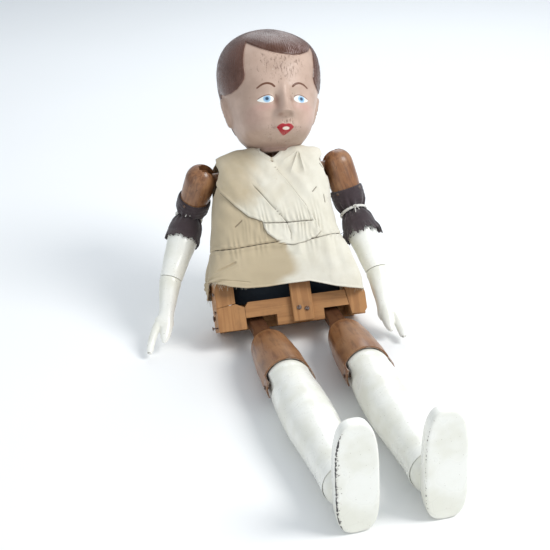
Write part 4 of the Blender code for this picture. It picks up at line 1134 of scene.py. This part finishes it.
def on_front(tree, x, z, lift):
    """The point of the tunic's front at torso x and z, raised by lift millimetres."""
    hit = tree.ray_cast(Vector((x * MM, -0.15, z * MM)), Vector((0, 1, 0)))[0]
    y = hit.y / MM if hit is not None else -80.0
    return (x, y - lift, z)


def make_frays(material, base):
    """Loose thread ends along the hem, thickest at the figure's right corner."""
    rng = np.random.default_rng(SEED + 1)
    parts = []
    hem = base[1]
    for _ in range(150):
        point = hem[rng.integers(len(hem))]
        if point[0] > -40 and rng.random() < 0.55:
            continue
        length = rng.uniform(1.5, 5.0) if point[0] > -70 else rng.uniform(3, 8)
        lean = rng.normal(0, 0.45, 3)
        path = []
        for t in np.linspace(0, 1, 7):
            sway = length * t * (lean * 0.6 + np.array([0, 0, -0.8]) + rng.normal(0, 0.03, 3))
            path.append(point + sway + np.array([0, 0, 0.5]))
        parts.append(tube(path, rng.uniform(0.10, 0.2), 5, 0.5))
    points, faces = join_parts(parts)
    frays = make_object("hem_threads", points, faces, material, TORSO)
    set_attribute(frays, "stain_and_shade", np.full(len(points), 0.5))
    set_vector(frays, "cloth", points * MM)
    return finish_piece(frays, "torso", "linen")


def make_padding(material):
    """The lumpy, stuffed dark lining that fills the body."""
    sections = [(27.5, -64, 62, -51, -13, 5.0), (60, -58, 58, -62, -13, 3.0), (110, -58, 54, -63, -13, 3.0),
                (158, -48, 48, -54, -13, 3.0)]
    z = np.linspace(27.5, 157.5, 90)
    shape = smooth_table(np.array(sections, float), z)
    angles = np.linspace(0, 2 * math.pi, 180, endpoint=False)
    rings = []
    for height, (right, left, front, back, power) in zip(z, shape):
        puff = 1.6 * abs(math.sin((height - 35) / 13))
        ends = min(1.0, (height - 26) / 3, (159.5 - height) / 8)
        inset = 7 * (1 - math.sqrt(max(0.0, ends)))
        ring = []
        for a in angles:
            wx = (left - right) / 2 - inset - 1.6 + puff
            wy = (back - front) / 2 - inset - 1.6 + puff
            px = (left + right) / 2 + wx * math.copysign(abs(math.cos(a)) ** (2 / power), math.cos(a))
            py = (front + back) / 2 + wy * math.copysign(abs(math.sin(a)) ** (2 / power), math.sin(a))
            lump = 0.9 * noise.noise(Vector((px / 14, py / 14, height / 11)))
            ring.append((px * (1 - lump * 0.012), py + lump * 0.3, height))
        rings.append(ring)
    points, faces = capped_loft(rings)
    pad = make_object("stuffed_lining", points, faces, material, TORSO)
    set_attribute(pad, "stain_and_shade", np.zeros(len(points)))
    set_vector(pad, "cloth", points[:, [0, 2, 1]] * MM)
    finish_piece(pad, "torso", "dark_lining", "body_padding")


# ---------------------------------------------------------------- arms

def turned_piece(name, profile, material, matrix, lumps, seed):
    points, faces = capped_loft(lathe_rings(profile, 96, lumps, seed))
    return make_object(name, points, faces, material, matrix)


def dome_rows(radius, first, last, count=14):
    return [(radius * math.sin(math.radians(a)), max(radius * math.cos(math.radians(a)), 0.05))
            for a in np.linspace(first, last, count)]


def add_wear(obj, amount):
    """Writes the wear attribute from a function of each point, given in limb millimetres."""
    points = np.array([v.co for v in obj.data.vertices]) / MM
    set_attribute(obj, "wear", amount(points))


def make_upper_arm(side, upper, length, material):
    sign = SIDES[side]
    end = -(length - ARM_END)
    rows = resample([(end, 7), (end + 3, 12), (end + 9, 16.6), (end + 24, 17.2), (0, ARM_R)], 1.5, 3)
    rows = [tuple(r) for r in rows] + dome_rows(ARM_R, 4, 90)
    arm = turned_piece(f"{side}_arm_wood", [(end, 0.5)] + rows, material, upper, lumps=0.5, seed=sign * 3.0)
    outside = -sign * 30
    tools = [
        tool_box((outside, -4, -9.5), (sign * 9, 4, 9.5), upper),
        tool_box((outside, -4, 0), (sign * 6, 4, 30), upper),
        tool_box((outside, -6.5, -8.5), (-sign * 8.8, 6.5, 30), upper),
        tool_box((outside - sign, -6.5, 8.8), (sign * 3, 6.5, 31), upper),
    ]
    carve(arm, tools)
    edge_normals(arm)
    # A pale spot on the arm's front near its top: partly real wear, partly a painted gloss highlight.
    chip = Vector((sign * 6, -15, 5))
    add_wear(arm, lambda p: 0.55 * bell(np.linalg.norm(p - np.array(chip), axis=1), 5.5)
             + 0.5 * bell(p[:, 2] - end - 30, 2.5))
    finish_piece(arm, f"{side}_upper_arm", "varnished_wood", f"{side}_upper_arm")


def elbow_cloth(side, upper, forearm, length, material):
    """One cloth from the nailed band over the arm's end, through the tie, to the ragged cap below it."""
    sign = SIDES[side]
    flare = 2.4 if side == "left" else 0.3
    stations = [(25.5, 18.0), (24.7, 19.0), (21, 19.0), (17.5, 18.9), (13.0, 18.5), (8.5, 17.6), (4.5, 16.0),
                (1.0, 14.0), (-1.6, 12.8), (-3.6, 12.4), (-5.6, 12.8), (-7.8, 14.6), (-10.5, 16.6),
                (-14, 18.2), (-18, 19.0), (-21.5, 19.4), (-27, 19.3 + flare * 0.6), (-32.5, 19.9 + flare),
                (-34.5, 19.6 + flare * 1.3)]
    outer = resample(stations, 0.8, 2)
    inner = resample([(s, max(r - 1.0, 3.6)) for s, r in stations[::-1]], 1.4, 2)
    rows = np.vstack([outer, inner])
    cols = 150
    angles = np.linspace(0, 2 * math.pi, cols, endpoint=False)
    rings = []
    frayed = [0.9 * math.sin(7 * a + sign) + 0.7 * math.sin(19 * a) + 0.5 * math.sin(43 * a) for a in angles]
    for s, r in rows:
        share = min(1.0, max(0.0, (s + 9) / 18))
        frame_a, frame_b = upper @ Vector((0, 0, (s - length) * MM)), forearm @ Vector((0, 0, s * MM))
        share = share * share * (3 - 2 * share)
        centre = frame_b.lerp(frame_a, share) / MM
        x_axis = forearm.col[0].to_3d().lerp(upper.col[0].to_3d(), share).normalized()
        z_axis = forearm.col[2].to_3d().lerp(upper.col[2].to_3d(), share).normalized()
        y_axis = z_axis.cross(x_axis).normalized()
        tie = math.exp(-((s + 1) / 11.0) ** 2)
        ring = []
        for i, a in enumerate(angles):
            gather = math.cos(13 * a + 1.7 * math.sin(3 * a)) * tie * 0.11 * r
            lump = 0.45 * noise.noise(Vector((math.cos(a) * 2, math.sin(a) * 2, s / 7 + sign * 5)))
            ruck = 0.35 * math.sin(s * 1.3 + 2 * math.sin(2 * a)) * (1 if s > 10 else 0.3)
            rag = frayed[i] * min(1.0, max(0.0, (-s - 24) / 9.0)) * (1.0 + flare * 0.6)
            top_rag = 0.5 * frayed[(i * 5) % cols] * min(1.0, max(0.0, (s - 24) / 4.0))
            radius = r + gather + (lump + ruck * 0.6) * (r > 5.5) * 0.6
            point = centre + (x_axis * math.cos(a) + y_axis * math.sin(a)) * radius
            ring.append(point + z_axis * (-rag + top_rag))
        rings.append(ring)
    rings = np.array([[tuple(p) for p in ring] for ring in rings])
    count = len(rings)
    points = rings.reshape(-1, 3)
    faces = grid_faces(count, cols)
    for c in range(cols):
        d = (c + 1) % cols
        faces.append(((count - 1) * cols + c, (count - 1) * cols + d, d, c))
    cloth = make_object(f"{side}_elbow_cloth", points, [f[::-1] for f in faces], material)
    values = np.repeat(rows[:, 0], cols)
    set_attribute(cloth, "stain_and_shade", 0.4 * soft_step(-values, 22, 34) + 0.3 * soft_step(values, 24, 29))
    turn = np.tile(angles * 19, count)
    set_vector(cloth, "cloth", np.column_stack([turn, values, values * 0]) * MM)
    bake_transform(cloth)
    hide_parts(f"{side}_elbow_band", f"{side}_elbow_cap")


def make_string(side, forearm, material):
    """Two turns of twine around the tie, a knot and its two cut ends."""
    sign = SIDES[side]
    middle = -3.8
    path = []
    for t in np.linspace(0, 2, 130):
        a = t * 2 * math.pi
        r = 15.0 + 0.25 * math.sin(a * 1.5)
        height = middle + 1.9 * (t - 1) * 0.62 + 0.25 * math.sin(3 * a)
        path.append((r * math.cos(a), r * math.sin(a), height))
    parts = [tube(path, 1.15, 10)]
    knot = []
    for t in np.linspace(0, 1, 40):
        a = t * 2 * math.pi * 1.4
        knot.append((sign * 2 + 1.7 * math.cos(a), -16.3 + 0.9 * math.sin(2 * a), middle + 1.7 * math.sin(a)))
    parts.append(tube(knot, 0.8, 8))
    for drift in (-1, 1):
        tail = [(sign * 2 + drift * 2.5 * t, -16.7 - 4.0 * t, middle - 8 * t**1.5 + drift)
                for t in np.linspace(0, 1, 14)]
        parts.append(tube(tail, 0.6, 8, 0.3))
    points, faces = join_parts(parts)
    string = make_object(f"{side}_twine", points, faces, material, forearm)
    finish_piece(string, f"{side}_forearm", "string", f"{side}_elbow_string")


def make_forearm(side, forearm, reach, material):
    seam = -reach * SEAM_AT
    top = -11.5
    rows = resample([(seam, 12.3), (seam + 0.6, 12.7), (seam + 30, 15.2), (top - 21, 17.5), (top - 10, 16.3),
                     (top - 3, 12.5), (top, 7)], 1.3, 2)
    rows = [(seam, 11.9)] + [tuple(r) for r in rows]
    arm = turned_piece(f"{side}_forearm_wood", rows, material, forearm, lumps=0.5, seed=2.0 + SIDES[side])
    carve(arm, [tool_rod((0, 0, seam - 10), (0, 0, seam + 16.5), DOWEL_BORE_R, forearm, 32)])
    edge_normals(arm)
    add_wear(arm, lambda p: 0.5 * bell(p[:, 2] - seam, 0.9)
             + 0.95 * bell(p[:, 2] - top + 23.5, 1.8) * (np.hypot(p[:, 0], p[:, 1]) > 14))
    finish_piece(arm, f"{side}_forearm", "cream_paint", f"{side}_forearm")


def make_hand(side, wrist, reach, material):
    """A stylised mitten: a slim wrist, a finger prong along the arm and a shorter, blunter one beside it."""
    sign = SIDES[side]
    inward = -sign
    length = reach * (1 - SEAM_AT)
    # rows: down from the wrist, towards the body, forward, half width, half depth
    trunk = [(0.35, 0, 0, 12.2, 12.2), (2, 0.1, 0, 12.5, 12.4), (12, 1.2, 0, 11.6, 11.4),
             (24, 3.2, 0, 10.4, 9.8), (36, 5.4, 0, 8.8, 8.0), (44, 6.4, 0, 9.0, 7.4),
             (52, 6.4, 0.2, 11.0, 7.0), (58, 8, 0.2, 8.5, 6.0)]
    palm = [(44, 7.5, 0, 7.5, 6.8), (54, 9.6, -0.6, 7.6, 6.4), (62, 10.8, -1.6, 6.6, 5.6),
            (69, 11.8, -3.0, 5.0, 4.6), (75, 12.2, -4.2, 2.4, 2.6)]
    finger = [(46, 3.0, 0.4, 5.4, 5.6), (56, 0.2, 0.8, 4.9, 5.4), (68, -1.0, 1.0, 4.5, 5.0),
              (80, -0.8, 0.2, 4.1, 4.4), (length - 4, 0, -2.0, 3.5, 3.7), (length - 0.8, 0, -3.2, 1.8, 2.0)]
    if side == "left":
        palm = [(d, s * 0.82, f - 0.8, a, b) for d, s, f, a, b in palm]
        finger = [(d, s - 0.8, f - 3.2 * max(0, (d - 60) / 30), a * 1.25, b) for d, s, f, a, b in finger]
    parts = []
    for table in (trunk, palm, finger):
        table = np.array(table, float)
        down = np.linspace(table[0, 0], table[-1, 0], int((table[-1, 0] - table[0, 0]) / 1.2) + 2)
        shape = smooth_table(table, down)
        rings = []
        for d, (aside, forward, half, deep) in zip(down, shape):
            rings.append([(inward * aside + half * math.cos(a), forward + deep * math.sin(a), -d)
                          for a in np.linspace(0, 2 * math.pi, 48, endpoint=False)])
        parts.append(capped_loft(rings[::-1]))
    points, faces = join_parts(parts)
    hand = make_object(f"{side}_carved_hand", points, faces, material, wrist)
    one_skin(hand, 0.75, 6)
    carve(hand, [tool_rod((0, 0, -14.5), (0, 0, 20), DOWEL_BORE_R, wrist, 32),
                 tool_box((-40, -40, -0.35), (40, 40, 40), wrist)])
    edge_normals(hand, 50)
    add_wear(hand, lambda p: 0.6 * bell(p[:, 2] + 0.5, 0.9)
             + 0.9 * bell(p[:, 2] + length - 2, 2.0)
             + 0.8 * bell(np.hypot(p[:, 2] + 73, p[:, 0] - inward * 12), 2.5))
    finish_piece(hand, f"{side}_hand", "cream_paint", f"{side}_hand")


# ---------------------------------------------------------------- legs

def make_thigh(side, thigh, length, material):
    start = -THIGH_START
    rows = resample([(-length - 6, 25.3), (-length + 6, 25.3), (-118, 24.4), (-100, 22.8), (start - 12, 20.4),
                     (start - 4, 18.0), (start - 1, 15), (start, 12)], 1.6, 2)
    leg = turned_piece(f"{side}_thigh_wood", [tuple(r) for r in rows], material, thigh, lumps=0.45,
                       seed=5.0 + SIDES[side])
    half, flat = 8.8, 5.8
    tongue = []
    for z in np.linspace(0, start - 12, 30):
        width = np.interp(z, [start - 12, start - 8, -44, 0], [half + 8, half + 7, half, half])
        tongue.append([(width * signed_power(math.cos(a), 0.28), flat * signed_power(math.sin(a), 0.28), z)
                       for a in np.linspace(0, 2 * math.pi, 64, endpoint=False)])
    points, faces = capped_loft(tongue[::-1])
    blade = make_object("tongue", points, faces, material, thigh)
    eye = tool_rod((-half + 0.35, 0, 0), (half - 0.35, 0, 0), flat + 0.3, thigh, 40)
    carve(leg, [blade, eye], "UNION")
    tools = [
        tool_ball((0, 0, -length), SOCKET_R, thigh),
        tool_box((-KNEE_SLOT, -40, -length - 30), (KNEE_SLOT, 40, -length), thigh),
        tool_box((-KNEE_SLOT, -2, -length - 30), (KNEE_SLOT, 40, -length + 26), thigh),
        tool_box((-40, -36, -length - 30), (40, -9, -length + 8), thigh),
        tool_box((-40, 9, -length - 30), (40, 36, -length + 8), thigh),
        tool_rod((-40, 0, 0), (40, 0, 0), 3.3, thigh),
        tool_rod((-40, 0, -length), (40, 0, -length), 2.4, thigh),
    ]
    carve(leg, tools)
    edge_normals(leg)

    def wear(p):
        rim = np.abs(np.linalg.norm(p - np.array((0, 0, -length)), axis=1) - SOCKET_R)
        outer = np.hypot(p[:, 0], p[:, 1])
        low = p[:, 2] < -length + 26
        edge = 0.95 * bell(rim, 1.4) * low * (outer > 15)
        # The second term is painted shade at the step where the tongue leaves the thigh.
        return edge + 0.25 * bell(p[:, 2] - start, 3.0)
    add_wear(leg, wear)
    # Painted shade over the tongue, which the rail shades, plus a dark patch on one cheek near the knee
    # socket.
    points = np.array([v.co for v in leg.data.vertices]) / MM
    blade = soft_step(points[:, 2], start - 13, start - 6) * (np.abs(points[:, 1]) < 6.5)
    dark_patch = 0.55 * np.exp(-np.hypot(points[:, 0] + 21, points[:, 2] + length - 22) / 7.0)
    set_attribute(leg, "shade_and_dark_patch", np.clip(0.8 * blade + dark_patch, 0, 1))
    finish_piece(leg, f"{side}_thigh", "varnished_wood", f"{side}_thigh")


def make_shin(side, shin, material):
    rows = resample([(-ANKLE_DROP + 0.5, 21.4), (-150, 20.8), (-120, 22.5), (-85, 25.0), (-60, 25.6),
                     (-35, 25), (-20, 24), (-8, KNEE_R)], 1.8, 2)
    rows = [tuple(r) for r in rows] + dome_rows(KNEE_R, -10, 90, 26)
    leg = turned_piece(f"{side}_shin_wood", rows, material, shin, lumps=0.35, seed=9.0 + SIDES[side])
    far = 40
    tools = [tool_box((sign * KNEE_FLAT, -far, -20), (sign * far, far, far), shin) for sign in SIDES.values()]
    tools += [tool_rod((-far, 0, 0), (far, 0, 0), 2.35, shin),
              tool_ball((0, 0, -ANKLE_DROP), ANKLE_BALL_R + 0.5, shin)]
    carve(leg, tools)
    edge_normals(leg)
    add_wear(leg, lambda p: 0.4 * bell(p[:, 2] + ANKLE_DROP - 5, 2.5)
             + 0.5 * bell(np.abs(p[:, 0]) - KNEE_FLAT, 0.8) * (p[:, 2] > -21))
    finish_piece(leg, f"{side}_shin", "cream_paint", f"{side}_shin")


def sole_ring(inset):
    """The sole's outline, square at the heel and rounded at the toe, brought in by inset."""
    ring = []
    middle = HEEL_BACK - SOLE_LENGTH / 2
    for a in np.linspace(0, 2 * math.pi, 120, endpoint=False):
        boxy = 4.5 if math.sin(a) > 0 else 2.8
        ring.append((signed_power(math.cos(a), 2 / 3.0) * (SOLE_WIDTH / 2 - inset),
                     middle + signed_power(math.sin(a), 2 / boxy) * (SOLE_LENGTH / 2 - inset)))
    return np.array(ring)


def make_foot(side, foot, material):
    sole = -(SHIN - ANKLE_DROP)
    rings = []
    for z, inset in ((0, 1.6), (0.4, 0.8), (1.2, 0.25), (2.5, 0.0), (6, 0.0), (10, 0.4), (12, 0.6)):
        ring = sole_ring(inset)
        rings.append(np.column_stack([ring, np.full(len(ring), sole + z)]))
    for share in np.linspace(0.12, 1, 14):
        bend = math.sin(share * math.pi / 2)
        ring = sole_ring(0.6 + 2.4 * share + 9 * (1 - math.cos(share * math.pi / 2)))
        rise = np.clip((ring[:, 1] + 60) / 62, 0, 1)
        top = 18 + 14 * rise**1.2
        rings.append(np.column_stack([ring[:, 0] * (1 - 0.1 * share), ring[:, 1] * (1 - 0.02 * share),
                                      sole + 12 + (top - 12) * bend]))
    points, faces = capped_loft(rings)
    boot = make_object(f"{side}_boot", points, faces, material, foot)
    carve(boot, [tool_ball((0, 0, 0), ANKLE_BALL_R, foot)], "UNION")
    one_skin(boot, 0.9, 3)
    edge_normals(boot)
    weight = 1.12 if side == "right" else 0.85

    def wear(p):
        rim = bell(p[:, 2] - sole - 1.0, 1.6)
        flank = soft_step(-p[:, 0], 8, 17) if side == "right" else soft_step(-p[:, 0], 10, 18)
        return weight * rim * (0.35 + 0.65 * flank)
    add_wear(boot, wear)
    finish_piece(boot, f"{side}_foot", "cream_paint", f"{side}_foot")


# ---------------------------------------------------------------- nails

def vertices_of(node):
    mesh = bpy.data.objects[node].data
    return np.array([v.co for v in mesh.vertices], float) / MM


def round_nail(node, name, direction, body, material, head=1.2):
    """A domed nail where a CAD nail lies. direction points from its head into the wood."""
    points = vertices_of(node)
    direction = np.array(Vector(direction).normalized())
    along = points @ direction
    centre = points.mean(0)
    gap = points - centre
    radial = np.linalg.norm(gap - np.outer(gap @ direction, direction), axis=1)
    head_r, shank_r = radial.max(), radial.min()
    start = centre + direction * (along.min() - centre @ direction)
    length = along.max() - along.min()
    turn = Vector(direction).to_track_quat("Z", "Y").to_matrix().to_4x4()
    turn.translation = Vector(start) * MM
    head = min(head, length * 0.7)
    rows = [(0.02, 0.1)]
    rows += [(head * 0.75 * (1 - math.cos(a)), head_r * math.sin(a)) for a in np.linspace(0.25, 1.5, 7)]
    rows += [(head, head_r * 0.96), (head + 0.05, shank_r), (length, shank_r)]
    points, faces = capped_loft(lathe_rings(rows, 28, 0.2, along.min() % 7))
    nail = make_object(name, points, faces, material, turn)
    edge_normals(nail, 45)
    finish_piece(nail, body, "nail_steel", node)


def torso_axis(x, y, z):
    return TORSO.to_3x3() @ Vector((x, y, z))


def make_nails(iron):
    for side, sign in SIDES.items():
        round_nail(f"{side}_hip_axle", f"{side}_hip_nail", torso_axis(-sign, 0, 0), "torso", iron)
        upper = arm_frames(side)[0]
        for number, angle in ((1, -135), (2, -50)):
            turn = math.radians(angle)
            inward = upper.to_3x3() @ Vector((-math.cos(turn), -math.sin(turn), 0))
            round_nail(f"{side}_elbow_tack_{number}", f"{side}_band_tack_{number}", inward,
                       f"{side}_upper_arm", iron, 0.8)
    for number in (1, 2, 3):
        round_nail(f"side_nail_{number}", f"flank_nail_{number}", torso_axis(1, 0, 0), "torso", iron)
    for number in (1, 2):
        round_nail(f"slat_nail_{number}", f"front_nail_{number}", torso_axis(0, 1, 0), "torso", iron, 0.8)


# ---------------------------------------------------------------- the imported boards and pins

def dress_node(node, material, bevel=0.0):
    """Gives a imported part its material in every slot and, on request, worn edges bevel mm wide."""
    obj = bpy.data.objects[node]
    if not obj.material_slots:
        obj.data.materials.append(material)
    for slot in obj.material_slots:
        slot.material = material
    if bevel:
        edges = obj.modifiers.new("worn_edges", "BEVEL")
        edges.width = bevel * MM
        edges.segments = 2
        edges.limit_method = "ANGLE"
        edges.angle_limit = math.radians(38)
        edges.harden_normals = False


def dress_frame(across, upright, wood, iron):
    for node in ("front_rail", "back_rail", "right_side_board", "left_side_board", "shoulder_board",
                 "centre_block"):
        dress_node(node, across, 0.5)
    for node in ("right_end_block", "left_end_block", "right_stile", "left_stile", "centre_slat",
                 "back_board"):
        dress_node(node, upright, 0.5)
    dress_node("neck_ball_peg", wood)
    for side in SIDES:
        for node in ("shoulder_peg", "wrist_dowel"):
            dress_node(f"{side}_{node}", wood)
        for node in ("shoulder_pin", "knee_pin", "ankle_pin"):
            dress_node(f"{side}_{node}", iron)


# ---------------------------------------------------------------- assembly

def build():
    make_camera()
    make_lights()
    make_stage(studio_grey())
    across = pine("pine_across", "x", 0.0)
    upright = pine("pine_upright", "z", 3.0)
    wood = varnish("varnished_wood_look", "own")
    paint = cream_paint()
    iron = rusty_iron()
    linen = woven("linen_look", (0.76, 0.735, 0.645), (0.67, 0.635, 0.53), (0.47, 0.375, 0.235),
                  0.55, 0.15, 0.85)
    dark_cloth = woven("elbow_cloth_look", (0.065, 0.045, 0.05), (0.035, 0.024, 0.028), (0.15, 0.12, 0.12),
                       0.7, 0.3, 0.5, 2.0)
    lining = woven("lining_look", (0.022, 0.032, 0.045), (0.012, 0.016, 0.022), (0.05, 0.03, 0.04), 0.9, 0.2)
    twine = thread("twine_look", (0.86, 0.85, 0.81), (0.60, 0.58, 0.53))
    dark_thread = thread("dark_thread_look", (0.10, 0.085, 0.075), (0.04, 0.03, 0.03))
    dress_frame(across, upright, varnish("turned_pin_look"), iron)
    make_nails(iron)
    make_padding(lining)
    head = make_head(face_paint())
    finish_piece(head, "head", "face_paint", "head")
    make_tunic(linen, dark_thread)
    for side in SIDES:
        upper, forearm, wrist, length, reach = arm_frames(side)
        make_upper_arm(side, upper, length, wood)
        make_forearm(side, forearm, reach, paint)
        make_hand(side, wrist, reach, paint)
        elbow_cloth(side, upper, forearm, length, dark_cloth)
        make_string(side, forearm, twine)
        thigh, shin, foot, thigh_length = leg_frames(side)
        make_thigh(side, thigh, thigh_length, wood)
        make_shin(side, shin, paint)
        make_foot(side, foot, paint)


build()
